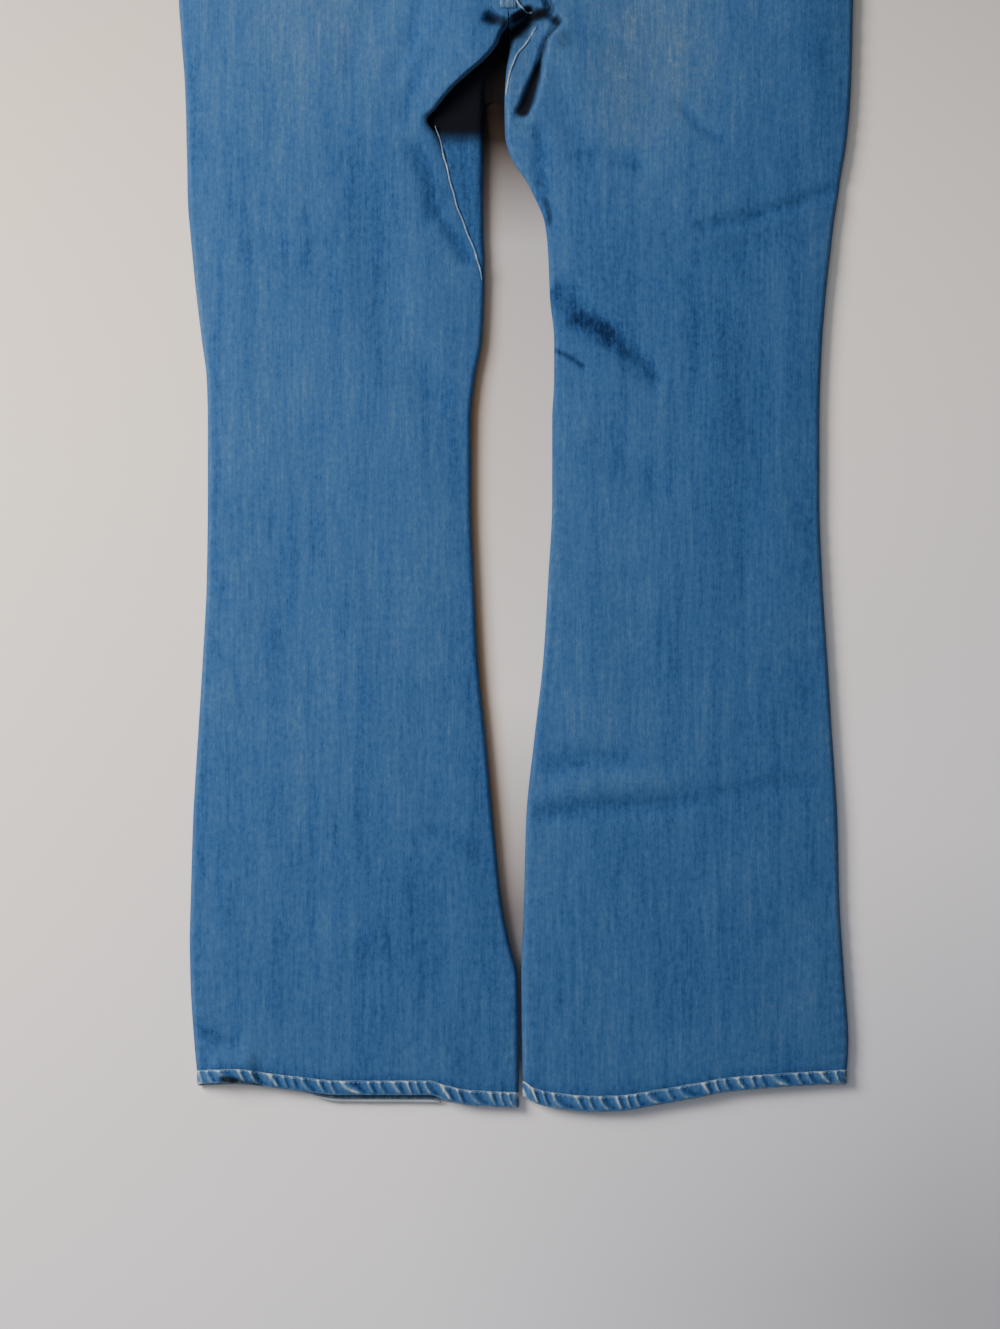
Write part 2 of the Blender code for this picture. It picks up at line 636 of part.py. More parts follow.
def front_rise_seam(right_grid, left_grid):
    """The felled seam between the two fronts, from the crotch to the foot of the fly."""
    half = RISE_WIDTH / 2
    sides = []
    for grid, offsets in ((right_grid, (-half, -half / 2, -0.2)), (left_grid, (0.2, half / 2, half))):
        sides.append(on_grid(grid, 824, FLY_FOOT, lambda height, across=offsets: centre_seam(height) + across))
    x, y, z = (np.concatenate(both, axis=1) for both in zip(*sides))
    return cloth("front_rise_seam", x, y, z + SEAM_GAP + 1.1, 1.0, DENIM_WORN)


def back_rise_seam():
    """The felled seam down the centre back, under the seat."""
    tall = np.array([830.0, 870.0, 910.0, SIDE_TOP + 1]).reshape(-1, 1)
    x = centre_seam(tall) + RISE_WIDTH * np.array([0.5, -0.5])
    z = np.full_like(x, SEAT_LIFT - SEAM_GAP - 1.0)
    return cloth("back_rise_seam", x, tall + 0 * x, z, 1.0, DENIM_WORN)


def back_pocket(name, middle):
    """A patch pocket under the seat: straight top, sides that narrow, and a pointed foot."""
    wide, narrow, shoulder, foot, top = 74, 66, 826, 803, 944
    outline = bpy.data.curves.new(name, "CURVE")
    outline.dimensions = "2D"
    outline.fill_mode = "BOTH"
    outline.extrude = CLOTH / 2000
    corners = ((-wide, top), (wide, top), (narrow, shoulder), (0, foot), (-narrow, shoulder))
    spline = outline.splines.new("POLY")
    spline.points.add(len(corners) - 1)
    for point, (x, height) in zip(spline.points, corners):
        point.co = ((middle + x) / 1000, (height - MID_LENGTH) / 1000, 0, 1)
    spline.use_cyclic_u = True
    made = new_object(name, outline, DENIM)
    made.location.z = CLOTH / 2000
    return made


def back_hem(name, leg):
    """A turned hem under the leg. It lies flat, and meets the back panel's first section."""
    tall = np.array([0.0, HEM_DEPTH - SEAM_GAP / 2]).reshape(-1, 1)
    x, z = back_section(leg, tall)
    y = along_leg(leg, x, tall, "back", CENTRE_BACK_TOP)
    return wall(name, *facing_down(leg, x, y, z), HEM_CLOTH)


def front_hem(name, leg, grid):
    """A turned hem on top of the leg, with the diagonal ridges that washing leaves along it."""
    _, grid_x, grid_y, grid_z = (part[0] for part in grid)
    inside = np.arange(grid_x[0] + EDGE_RADIUS, grid_x[-1] - EDGE_RADIUS, ROPE_PITCH / 3)
    x = np.unique(np.round(np.concatenate([grid_x[:5], inside, grid_x[-5:]]), 3))
    z = np.interp(x, grid_x, grid_z)
    part = np.array([0.0, 0.2, 0.55, 0.85, 1.0]).reshape(-1, 1)
    top = np.interp(x, grid_x, grid_y) - 1.5 * SEAM_GAP
    bottom = along_leg(leg, x, 0.0, "front", CENTRE_FRONT_TOP)
    y = bottom + (top - bottom) * part
    turn = 2 * math.pi * (x - 0.9 * HEM_DEPTH * part) / ROPE_PITCH
    roundness = np.array([-0.5, 0.4, 0.6, 0.4, 0.0]).reshape(-1, 1)
    strength = ROPE_HEIGHT / 2 * np.array([0.3, 1, 1, 1, 0.2]).reshape(-1, 1)
    shape = x + 0 * part
    return wall(name, shape, y, z + 0 * part, HEM_CLOTH, roundness + strength * np.sin(turn))


def wall(name, x, y, z, thickness, raised=0.0):
    """A closed wall between a grid and the same grid moved inwards, square to each section.

    Only the outer side is raised. At both ends of a section the wall is level, so two walls that meet
    at a seam face each other.
    """
    step = np.hypot(np.diff(x), np.diff(z))
    along_x = np.diff(x) / step
    along_z = np.diff(z) / step
    share = step[:, 1:] / (step[:, 1:] + step[:, :-1])
    out_x = -np.pad(along_z[:, :-1] * share + along_z[:, 1:] * (1 - share), ((0, 0), (1, 1)), "edge")
    out_z = np.pad(along_x[:, :-1] * share + along_x[:, 1:] * (1 - share), ((0, 0), (1, 1)), "edge")
    for end in (0, -1):
        upright = np.abs(along_z[:, end]) > 2 * np.abs(along_x[:, end])
        out_x[:, end] = np.where(upright, -np.sign(along_z[:, end]), -along_z[:, end])
        out_z[:, end] = np.where(upright, 0, along_x[:, end])
    length = np.hypot(out_x, out_z)
    out_x = out_x / length
    out_z = out_z / length
    outer = np.stack([x + raised * out_x, y, z + raised * out_z], axis=2)
    inner = np.stack([x - thickness * out_x, y, z - thickness * out_z], axis=2)
    ring = np.concatenate([outer, inner[[-1, 0]]], axis=0)
    count, sections = ring.shape[:2]
    points = (ring.transpose(1, 0, 2).reshape(-1, 3) - (0, MID_LENGTH, 0)) / 1000
    k, j = np.meshgrid(np.arange(count), np.arange(sections - 1), indexing="ij")
    after = (k + 1) % count
    corners = (j * count + k, (j + 1) * count + k, (j + 1) * count + after, j * count + after)
    faces = [tuple(face) for face in np.stack(corners, axis=2).reshape(-1, 4).tolist()]
    faces.append(tuple(reversed(range(count))))
    faces.append(tuple(range((sections - 1) * count, sections * count)))
    mesh = bpy.data.meshes.new(name)
    mesh.from_pydata(points.tolist(), [], faces)
    solid = bmesh.new()
    solid.from_mesh(mesh)
    bmesh.ops.recalc_face_normals(solid, faces=solid.faces)
    solid.to_mesh(mesh)
    solid.free()
    return new_object(name, mesh, DENIM)


def button():
    """The waist button, a turned cap on a short shank over the waistband's end."""
    band_top = float(band_surface(0.0)) + BAND_CLOTH + SEAM_GAP
    profile = ((0, 4.4), (3.5, 4.3), (6.6, 3.9), (8.5, 2.8), (8.5, 1.8), (6.0, 1.2), (4.0, 1.0), (4.0, 0), (0, 0))
    mesh = bpy.data.meshes.new("button")
    points = [(r / 1000, 0, z / 1000) for r, z in profile]
    mesh.from_pydata(points, [(k, k + 1) for k in range(len(points) - 1)], [])
    made = new_object("button", mesh, METAL)
    middle = CENTRE_FRONT_TOP + BAND_DEPTH / 2 - MID_LENGTH
    made.location = (0, middle / 1000, (band_top + SEAM_GAP) / 1000)
    turned = made.modifiers.new("turned", "SCREW")
    turned.steps = 24
    turned.render_steps = 24
    turned.use_merge_vertices = True
    turned.merge_threshold = 0.00001
    return made


for old in list(bpy.data.objects):
    bpy.data.objects.remove(old)
jeans = bpy.data.collections.new("bootcut_jeans")
bpy.context.scene.collection.children.link(jeans)
waist_to_hem = bpy.data.objects.new("bootcut_jeans", None)
jeans.objects.link(waist_to_hem)

right_front = front_grid(RIGHT_LEG)
left_front = front_grid(LEFT_LEG)
cloth("right_front_panel", *right_front[1:])
cloth("left_front_panel", *left_front[1:])
back_panel("right_back_panel", RIGHT_LEG)
back_panel("left_back_panel", LEFT_LEG)
yoke("right_yoke", RIGHT_LEG)
yoke("left_yoke", LEFT_LEG)
waistband()
belt_loop("belt_loop_right", -95, "front")
belt_loop("belt_loop_left", 95, "front")
belt_loop("belt_loop_back_right", -120, "back")
belt_loop("belt_loop_back", 0, "back")
belt_loop("belt_loop_back_left", 120, "back")
pocket_facing("right_pocket_facing", RIGHT_LEG)
pocket_facing("left_pocket_facing", LEFT_LEG)
fly_facing(left_front)
zip_tape(right_front, left_front)
front_rise_seam(right_front, left_front)
back_rise_seam()
back_pocket("right_back_pocket", -100)
back_pocket("left_back_pocket", 96)
front_hem("right_front_hem", RIGHT_LEG, right_front)
front_hem("left_front_hem", LEFT_LEG, left_front)
back_hem("right_back_hem", RIGHT_LEG)
back_hem("left_back_hem", LEFT_LEG)
button()
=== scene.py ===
"""Bootcut jeans laid flat on their back, seen straight from above as in the photo.

The wearer's right leg is at -X and the waist points along +Y. Tables are in millimetres, a height runs
along the leg from the lowest point of the hems, and points are made metres when a mesh is made.
"""

import math

import bmesh
import bpy
import numpy as np
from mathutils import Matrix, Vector


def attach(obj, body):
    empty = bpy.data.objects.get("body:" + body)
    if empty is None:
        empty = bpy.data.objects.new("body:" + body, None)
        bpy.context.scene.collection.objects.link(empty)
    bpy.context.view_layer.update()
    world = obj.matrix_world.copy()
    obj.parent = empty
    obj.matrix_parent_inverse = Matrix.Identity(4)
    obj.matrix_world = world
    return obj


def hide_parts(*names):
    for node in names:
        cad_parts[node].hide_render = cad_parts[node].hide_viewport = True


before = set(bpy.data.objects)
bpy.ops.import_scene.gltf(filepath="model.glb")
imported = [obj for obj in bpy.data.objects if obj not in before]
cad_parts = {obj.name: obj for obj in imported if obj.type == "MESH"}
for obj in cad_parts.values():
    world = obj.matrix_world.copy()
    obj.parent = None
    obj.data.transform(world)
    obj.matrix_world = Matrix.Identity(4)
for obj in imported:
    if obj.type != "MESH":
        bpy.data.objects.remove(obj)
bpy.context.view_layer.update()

# The surface they lie on is a smooth pale board. A window at the upper left lights it, so it is
# brightest there and falls off towards the lower right, and the room fills the shadows. The board's
# colour also has that falloff, and the shadows between the legs, painted in.
MID_LENGTH = 529.0
FLOOR_PAINTED_WARM_LIGHT = (0.95, 0.812, 0.66)
FLOOR_PAINTED_COOL_LIGHT = (0.86, 0.85, 0.94)
FLOOR_DULL_AND_PAINTED_SHADE = (0.34, 0.33, 0.36)
FLOOR_PAINTED_SHADOW_BROWN = (0.36, 0.18, 0.06)
FLOOR_PAINTED_NARROW_SHADE = (0.20, 0.185, 0.19)
FLOOR_PAINTED_HALF_SHADOW = (0.034, 0.023, 0.016)
FLOOR_SHADE = (0.009, 0.0045, 0.0028)
AIM = (-0.012, (334.6 - MID_LENGTH) / 1000, 0.0)
SEEN_HEIGHT = 0.99675
LENS = 150.0


class Wire:
    """A shader socket in a Python expression: each operator adds its Math node."""

    def __init__(self, socket):
        self.socket = socket

    def maths(self, operation, left, right):
        tree = self.socket.id_data
        made = tree.nodes.new("ShaderNodeMath")
        made.operation = operation
        for slot, value in zip(made.inputs, (left, right)):
            feed(tree, slot, value)
        return Wire(made.outputs[0])

    def __add__(self, other):
        return self.maths("ADD", self, other)

    __radd__ = __add__

    def __mul__(self, other):
        return self.maths("MULTIPLY", self, other)

    __rmul__ = __mul__

    def __sub__(self, other):
        return self.maths("SUBTRACT", self, other)

    def __rsub__(self, other):
        return self.maths("SUBTRACT", other, self)


def feed(tree, slot, value):
    """Links a wire to a socket, or sets the socket's own value."""
    if isinstance(value, Wire):
        tree.links.new(value.socket, slot)
    else:
        slot.default_value = value


class Finish:
    """A material with one Principled shader, whose changing sockets are fed by wires."""

    def __init__(self, name, roughness=0.85, metallic=0.0, sheen=0.0):
        self.material = bpy.data.materials.new(name)
        self.material.use_nodes = True
        self.tree = self.material.node_tree
        self.shader = self.tree.nodes["Principled BSDF"]
        self.shader.inputs["Roughness"].default_value = roughness
        self.shader.inputs["Metallic"].default_value = metallic
        self.shader.inputs["Sheen Weight"].default_value = sheen
        self.place = self.node("ShaderNodeTexCoord", out="Object")

    def node(self, kind, settings=None, out=0, **values):
        """Any other node: its settings first, then its sockets. Socket names use _ for a space."""
        made = self.tree.nodes.new(kind)
        for key, value in (settings or {}).items():
            setattr(made, key, value)
        for key, value in values.items():
            feed(self.tree, made.inputs[key.replace("_", " ")], value)
        return Wire(made.outputs[out])

    def scaled(self, by):
        """Object coordinates multiplied by a vector."""
        made = self.tree.nodes.new("ShaderNodeVectorMath")
        made.operation = "MULTIPLY"
        feed(self.tree, made.inputs[0], self.place)
        made.inputs[1].default_value = by
        return Wire(made.outputs[0])

    def noise(self, by, detail=2.0, rough=0.5):
        """Noise from about -0.5 to 0.5, with its own scale along each axis, per metre."""
        made = self.node(
            "ShaderNodeTexNoise", Vector=self.scaled(by), Scale=1.0, Detail=detail, Roughness=rough
        )
        return made - 0.5

    def measured(self, attribute):
        """A number that the mesh holds at its points."""
        return self.node("ShaderNodeAttribute", {"attribute_name": attribute}, out="Fac")

    def ramp(self, value, *stops):
        """A colour ramp: each stop is a place and a colour."""
        made = self.tree.nodes.new("ShaderNodeValToRGB")
        elements = made.color_ramp.elements
        for place, colour in stops[1:-1]:
            elements.new(place).color = (*colour, 1)
        for end in (0, -1):
            elements[end].position = stops[end][0]
            elements[end].color = (*stops[end][1], 1)
        feed(self.tree, made.inputs[0], value)
        return Wire(made.outputs[0])

    def mix(self, factor, low, high):
        """A colour between two others."""
        made = self.tree.nodes.new("ShaderNodeMix")
        made.data_type = "RGBA"
        for key, value in ((0, factor), (6, low), (7, high)):
            feed(self.tree, made.inputs[key], (*value, 1) if isinstance(value, tuple) else value)
        return Wire(made.outputs[2])

    def coloured(self, colour):
        feed(self.tree, self.shader.inputs["Base Color"], colour)

    def raised(self, height, distance):
        """A bump whose full height is the distance, in metres."""
        bump = self.node("ShaderNodeBump", Strength=1.0, Distance=distance, Height=height, out="Normal")
        feed(self.tree, self.shader.inputs["Normal"], bump)


def lamp(name, place, aim, size, watts, colour):
    """A soft rectangular light that faces a point."""
    light = bpy.data.lights.new(name, "AREA")
    light.shape = "RECTANGLE"
    light.size, light.size_y = size
    light.energy = watts
    light.color = colour
    made = bpy.data.objects.new(name, light)
    bpy.context.scene.collection.objects.link(made)
    made.location = place
    made.rotation_euler = (aim - made.location).to_track_quat("-Z", "Y").to_euler()


def board():
    """The pale board: faint clouds and a fine tooth, with painted light that tints it warm at the upper left
    and cool at the lower right.

    It is painted duller towards its upper edge and its lower right corner. Between the legs it has painted
    shadow: brown beside the right leg, dim where the gap narrows, and going through half shadow to near
    black at the crotch.
    the right leg, dim where the gap narrows, and goes through dusk to near black at the crotch.
    """
    finish = Finish("pale_board", roughness=0.9)
    finish.shader.inputs["Specular IOR Level"].default_value = 0.2
    place = finish.tree.nodes.new("ShaderNodeSeparateXYZ")
    feed(finish.tree, place.inputs[0], finish.place)
    x, y = Wire(place.outputs[0]), Wire(place.outputs[1])

    def share(value, start, end):
        """0 at the start, 1 at the end, straight between."""
        return finish.node("ShaderNodeMapRange", Value=value, From_Min=start, From_Max=end)

    cloud = finish.noise((3.0, 3.0, 3.0)) + 0.4 * finish.noise((60.0, 60.0, 60.0), 4.0)
    # Painted light falloff: the board is tinted warm to cool and made duller towards its upper edge and
    # lower right corner.
    upper = share(y, -0.10, 0.32)
    corner = share(x, -0.08, 0.32) * share(y, -0.32, -0.66)
    tone = finish.mix(share(y - 0.6 * x, 0.45, -0.80), FLOOR_PAINTED_WARM_LIGHT, FLOOR_PAINTED_COOL_LIGHT)
    tone = finish.mix(0.05 * cloud + 0.02 + 0.36 * upper * upper + 0.64 * corner, tone, FLOOR_DULL_AND_PAINTED_SHADE)
    # Painted shade between the legs: the board is dimmed there, most towards the crotch.
    painted_shade_between_legs = share(x, -0.060, -0.045) * share(x, 0.050, 0.035) * share(y, 0.40, 0.35)
    tone = finish.mix(0.72 * painted_shade_between_legs * share(y, -0.35, 0.13), tone, FLOOR_DULL_AND_PAINTED_SHADE)
    # Painted shade where the gap between the legs narrows towards the hems.
    narrow = share(x, -0.030, -0.018) * share(x, 0.034, 0.022)
    narrow = narrow * share(y, -0.22, -0.38) * share(y, -0.52, -0.49)
    tone = finish.mix(narrow, tone, FLOOR_PAINTED_NARROW_SHADE)
    # The ramp holds the inner edge's x, from -40 to 10 mm, as a grey level at each height.
    heights = (98, 158, 278, 398, 488, 548, 578, 650)
    first, last = heights[0], heights[-1]
    stops = []
    for height in heights:
        level = (float(at(RIGHT_LEG, "fold", height)) + 40) / 50
        stops.append(((height - first) / (last - first), (level, level, level)))
    along = share(y, (first - MID_LENGTH) / 1000, (last - MID_LENGTH) / 1000)
    leg_edge = 0.05 * finish.ramp(along, *stops) - 0.04
    # Painted shadow: a brown band on the board beside the right leg's inner edge.
    beside = share(x - leg_edge, 0.020, 0.0)
    beside = beside * beside * (1 - 0.5 * share(y, 0.03, 0.12)) * share(y, -0.40, -0.30)
    tone = finish.mix(0.9 * painted_shade_between_legs * beside, tone, FLOOR_PAINTED_SHADOW_BROWN)
    # Painted shadow at the crotch: through half shadow to near black.
    tone = finish.mix(painted_shade_between_legs * share(y, 0.121, 0.199), tone, FLOOR_PAINTED_HALF_SHADOW)
    finish.coloured(finish.mix(painted_shade_between_legs * share(y, 0.194, 0.218), tone, FLOOR_SHADE))
    mesh = bpy.data.meshes.new("board")
    shape = bmesh.new()
    bmesh.ops.create_grid(shape, x_segments=1, y_segments=1, size=4.0)
    bmesh.ops.translate(shape, verts=shape.verts, vec=(0, 0, -0.0004))
    shape.to_mesh(mesh)
    shape.free()
    mesh.materials.append(finish.material)
    made = bpy.data.objects.new("board", mesh)
    bpy.context.scene.collection.objects.link(made)


lamp("window", (-1.35, 0.35, 1.2), Vector(AIM), (0.9, 0.9), 53.0, (1.0, 0.955, 0.905))
lamp("room", (-0.3, -0.2, 2.8), Vector(AIM), (2.5, 2.5), 20.0, (0.88, 0.95, 1.0))
world = bpy.data.worlds.new("room")
world.use_nodes = True
world.node_tree.nodes["Background"].inputs["Color"].default_value = (0.9, 0.95, 1.0, 1)
world.node_tree.nodes["Background"].inputs["Strength"].default_value = 0.12
bpy.context.scene.world = world
eye = bpy.data.objects.new("camera", bpy.data.cameras.new("camera"))
bpy.context.scene.collection.objects.link(eye)
eye.data.lens = LENS
eye.data.clip_end = 50
eye.location = (AIM[0], AIM[1], SEEN_HEIGHT * LENS / 36)
bpy.context.scene.camera = eye


# Front and back of each leg are cut from the same washed denim and meet at a side seam and an inseam.
# The tables give the outline, the hems' lines, how the two legs are joined at the crotch, and every
# crease that the wearer and the laying down have left. Left and right are the wearer's.
CLOTH = 1.2
SEAM_GAP = 0.3
HEM_DEPTH = 12.0
EDGE_RADIUS = 4.5
SEAT_LIFT = 1.6
LAYER = CLOTH + SEAM_GAP
SIDE_TOP = 1008.0
CENTRE_FRONT_TOP = 988.0
CENTRE_BACK_TOP = 1020.0
FLY_FOOT = 848.0
FLY_OVERLAP = 8.0
PIT_FLOOR = 6.0
WAIST_BEND = 850.0
KNEE = 540.0
PANEL_ROW = 2.8
CROTCH_ROW = 1.5
PANEL_COLUMNS = 80
EDGE_COLUMNS = 9
POCKET_DEPTH = 75.0
POCKET_WIDTH = 95.0


def table(names, *rows):
    """A short table with named columns."""
    return np.array(list(rows), dtype=[(name, float) for name in names.split()])


RIGHT_LEG = table(
    "height outer fold seam radius brow",
    (0, -238, 2.2, 2.2, 4.5, 4.5),
    (38, -241, 2.2, 2.2, 4.5, 4.5),
    (98, -244, 1.5, 1.5, 4.5, 4.5),
    (128, -244.5, -5.5, -5.5, 4.5, 4.5),
    (158, -243.8, -11, -11, 4.5, 4.5),
    (218, -242, -17, -17, 4.5, 4.5),
    (278, -238.5, -22.5, -22.5, 4.5, 4.5),
    (338, -234.8, -28.5, -28.5, 4.5, 4.5),
    (398, -231.8, -31.5, -31.5, 4.5, 4.5),
    (458, -231, -33.8, -33.8, 4.5, 4.5),
    (518, -231, -33.8, -33.8, 4.5, 4.5),
    (548, -231.8, -30.8, -30.8, 4.5, 4.5),
    (578, -235.5, -25.5, -25.5, 4.5, 4.5),
    (620, -240.5, -23.6, -23.8, 4.5, 5),
    (636, -242, -23.5, -28.5, 4.5, 7),
    (657, -244, -24.5, -36, 4.5, 9),
    (683, -246, -24.8, -45.8, 4.5, 10),
    (713, -246.5, -24.8, -53.3, 4.5, 10),
    (730, -247, -24.8, -58.5, 4.2, 10),
    (742, -247.2, -24.8, -66.5, 3.2, 6),
    (750, -247.4, -24.8, -60, 2.6, 4.5),
    (765, -248, -24.8, -47.6, 2.4, 4),
    (777, -248.6, -21.5, -34.5, 2.4, 4),
    (787, -249.4, -16, -22.8, 2.4, 4),
    (799, -250.4, -7.5, -12.2, 2.4, 4),
    (810, -251.2, -6.3, -8.3, 2.4, 4),
    (818, -251.8, -6.15, -6.8, 2.4, 4.5),
    (823, -252.2, -6.15, -6.15, 2.4, 6),
    (833, -252.8, -6.15, -6.15, 2.4, 6),
    (885, -257, -4.5, -4.5, 2.4, 6),
    (950, -243, -2.2, -2.2, 2.4, 6),
    (1008, -220, -0.15, -0.15, 2.4, 6),
    (1046, -208, -0.15, -0.15, 2.4, 6),
)
LEFT_LEG = table(
    "height outer fold seam radius brow",
    (0, 247, 5, 5, 4.5, 4.5),
    (38, 249, 4.5, 4.5, 4.5, 4.5),
    (98, 246, 3.9, 3.9, 4.5, 4.5),
    (158, 242.3, 6, 6, 4.5, 4.5),
    (218, 240.8, 7.5, 7.5, 4.5, 4.5),
    (278, 237, 13.5, 13.5, 4.5, 4.5),
    (338, 233.3, 20.3, 20.3, 4.5, 4.5),
    (398, 229.5, 24, 24, 4.5, 4.5),
    (458, 227.3, 27, 27, 4.5, 4.5),
    (518, 227.3, 27, 27, 4.5, 4.5),
    (548, 228, 28.5, 28.5, 4.5, 4.5),
    (578, 229.5, 28.5, 28.5, 4.5, 4.5),
    (608, 231.8, 25.5, 25.5, 4.5, 4.5),
    (642, 235.5, 24, 24, 4.5, 4.5),
    (664, 238, 21.8, 21.8, 4.5, 4.5),
    (687, 241.5, 12.8, 12.8, 4.5, 4.5),
    (698, 243, 6.8, 6.8, 4.5, 4.5),
    (709, 245, -0.8, -0.8, 4.5, 4.5),
    (720, 246.8, -6, -6, 4.5, 4.5),
    (732, 248.3, -8.3, -8.3, 4.5, 4.5),
    (755, 250.3, -8.6, -8.6, 4.5, 4.5),
    (777, 251.3, -7.5, -7.5, 4.5, 4.5),
    (801, 252, -4.5, -4.5, 3.2, 4.5),
    (812, 252.2, -4.9, -4.9, 2.4, 4.5),
    (818, 252.3, -5.1, -5.1, 2.4, 5),
    (825, 252.4, -5.85, -5.85, 2.4, 5),
    (833, 252.6, -5.85, -5.85, 2.4, 5),
    (885, 257, -4.2, -4.2, 2.4, 5),
    (950, 243, -1.9, -1.9, 2.4, 5),
    (1008, 220, 0.15, 0.15, 2.4, 5),
    (1046, 208, 0.15, 0.15, 2.4, 5),
)
BODY = table(
    "height crown spread joined lift",
    (0, 2.5, 0, 0, 0),
    (300, 3, 0, 0, 0),
    (520, 3.5, 0, 0, 0),
    (700, 5, 0, 0, 0),
    (760, 6, 1, 0, 0),
    (770, 6, 1, 0, 0),
    (792, 6.5, 1, 0, SEAT_LIFT),
    (811, 7, 1, 0, SEAT_LIFT),
    (817, 7, 1, 1, SEAT_LIFT),
    (900, 7, 1, 1, SEAT_LIFT),
    (1046, 4, 1, 1, SEAT_LIFT),
)
SLIT = table(
    "height place half_width open step",
    (738, 4, 6, 0, 0),
    (747, 5, 6, 0.3, 2),
    (754, 8, 5.5, 0.8, 7),
    (765, 11.5, 5, 1, 11),
    (777, 15.5, 3.6, 1, 12),
    (788, 18.5, 2.4, 0.9, 12),
    (799, 21.5, 2.2, 0.7, 12),
    (808, 27, 2.4, 0.7, 13),
    (814, 31, 3, 0.7, 13),
    (819, 28.5, 3, 0.5, 9),
    (824, 25, 2.5, 0.4, 3),
    (833, 22, 2.5, 0.3, 0),
    (858, 18, 3, 0.1, 0),
    (880, 16, 3, 0, 0),
)
ARCH = table("x height", (-6, 813), (-1, 816.5), (3, 819.5), (9, 823), (15, 823.5), (23, 821), (40, 812))
RIGHT_HEM = table(
    "x front back",
    (-238, 20.7, 19),
    (-210, 22.2, 20),
    (-185, 18.5, 18),
    (-161, 15.5, 14.5),
    (-132, 12.5, 9),
    (-65, 12.5, 8.5),
    (-51, 8.3, 7),
    (-36, 5, 5),
    (1, 2.7, 2.7),
)
LEFT_HEM = table(
    "x front back",
    (6, 11.3, 11),
    (15, 5.9, 7),
    (36, 1.8, 3),
    (59, 0, 1.5),
    (77, 0.5, 2),
    (105, 5, 5.5),
    (138, 11, 11),
    (156, 14.6, 14),
    (185, 17.4, 17),
    (213, 19.4, 19),
    (246, 21.2, 20),
)
# A soft trough along each line, or a ridge where the depth is negative. The line bows to its left by
# bow in the middle. The last column is how much darker the trough is: partly indigo it has kept, and
# partly painted shade.
CREASES = table(
    "x0 height0 x1 height1 bow width depth unworn",
    (-124, 722, -98, 566, 6, 22, 1.7, 0.07),
    (-150, 690, -140, 610, -4, 12, 0.7, 0.02),
    (-83, 580, -61, 530, 3, 13, 1.3, 0.05),
    (-64, 212, -24, 187, 3, 7, 1.2, 0.08),
    (-74, 722, -58, 668, 2, 9, 2.4, 0.19),
    (-60, 676, -37, 637, 1, 5.5, 2.2, 0.20),
    (-239, 55, -210, 36, -3, 5, 1.5, 0.15),
    (-23, 819, -14, 815, 0, 4.5, 7, 0.4),
    (-70, 838, -92, 776, 5, 6, 1.3, 0.09),
    (-100, 838, -124, 768, -6, 9, 1.0, 0.05),
    (-58, 795, -84, 742, -4, 7, 1.1, 0.07),
    (-206, 640, -168, 652, 3, 8, 0.7, 0.03),
    (-215, 300, -150, 318, -4, 12, 0.7, 0.03),
    (-120, 118, -52, 96, 4, 14, 0.8, 0.03),
    (-180, 455, -172, 330, 5, 18, 0.8, 0.04),
    (122, 755, 154, 725, -2, 4, 1.5, 0.12),
    (42, 716, 97, 706, 4, 7, 1.7, 0.10),
    (139, 662, 240, 691, -3, 5.5, 2.2, 0.11),
    (150, 640, 232, 655, 4, 10, 0.8, 0.04),
    (18, 737, 24, 660, -2, 6, 1.6, 0.14),
    (27, 616, 50, 594, 2, 11, 2.6, 0.20),
    (42, 594, 74, 576, 4, 8.5, 3.8, 0.32),
    (68, 581, 106, 546, 3, 7.5, 2.6, 0.20),
    (29, 570, 51, 557, 1, 2.2, 1.2, 0.2),
    (54, 502, 112, 461, 4, 16, 1.6, 0.06),
    (170, 580, 166, 366, 4, 17, 1.0, 0.03),
    (30, 780, 58, 702, -5, 10, 1.1, 0.07),
    (42, 806, 88, 792, 4, 6, 1.0, 0.06),
    (44, 818, 92, 836, -3, 7, 0.9, 0.05),
    (196, 800, 238, 790, 3, 9, 0.8, 0.03),
    (18, 222, 122, 230, 2, 6.5, 2.4, 0.12),
    (108, 228, 226, 246, 3, 6, 1.2, 0.06),
    (22, 240, 122, 248, 2, 8, -1.4, -0.06),
    (22, 258, 88, 265, 2, 8, 1.4, 0.09),
    (150, 140, 214, 120, 4, 15, 0.8, 0.03),
    (-226, 14, -196, 17, 0, 13, -4.5, 0.0),
)
# On the backs, where the cloth has lifted off the board in shallow folds.
BACK_CREASES = table(
    "x0 height0 x1 height1 bow width depth unworn",
    (-150, 742, -60, 716, 6, 9, 1.2, 0.08),
    (-130, 775, -70, 762, 5, 7, 0.9, 0.05),
    (-210, 590, -120, 566, -5, 10, 1.1, 0.08),
    (-170, 548, -80, 535, 4, 8, 1.3, 0.09),
    (-150, 500, -190, 470, 3, 9, 0.8, 0.05),
    (-140, 380, -150, 230, 6, 16, 0.9, 0.05),
    (-190, 210, -120, 196, 3, 8, 0.8, 0.04),
    (148, 748, 58, 722, -6, 9, 1.2, 0.08),
    (128, 772, 72, 758, -5, 7, 0.8, 0.05),
    (206, 604, 116, 575, 5, 10, 1.2, 0.08),
    (164, 556, 84, 548, -4, 8, 1.2, 0.09),
    (188, 512, 150, 486, -3, 9, 0.7, 0.05),
    (132, 350, 150, 215, -6, 16, 0.9, 0.05),
    (60, 180, 140, 190, 3, 8, 0.8, 0.04),
)
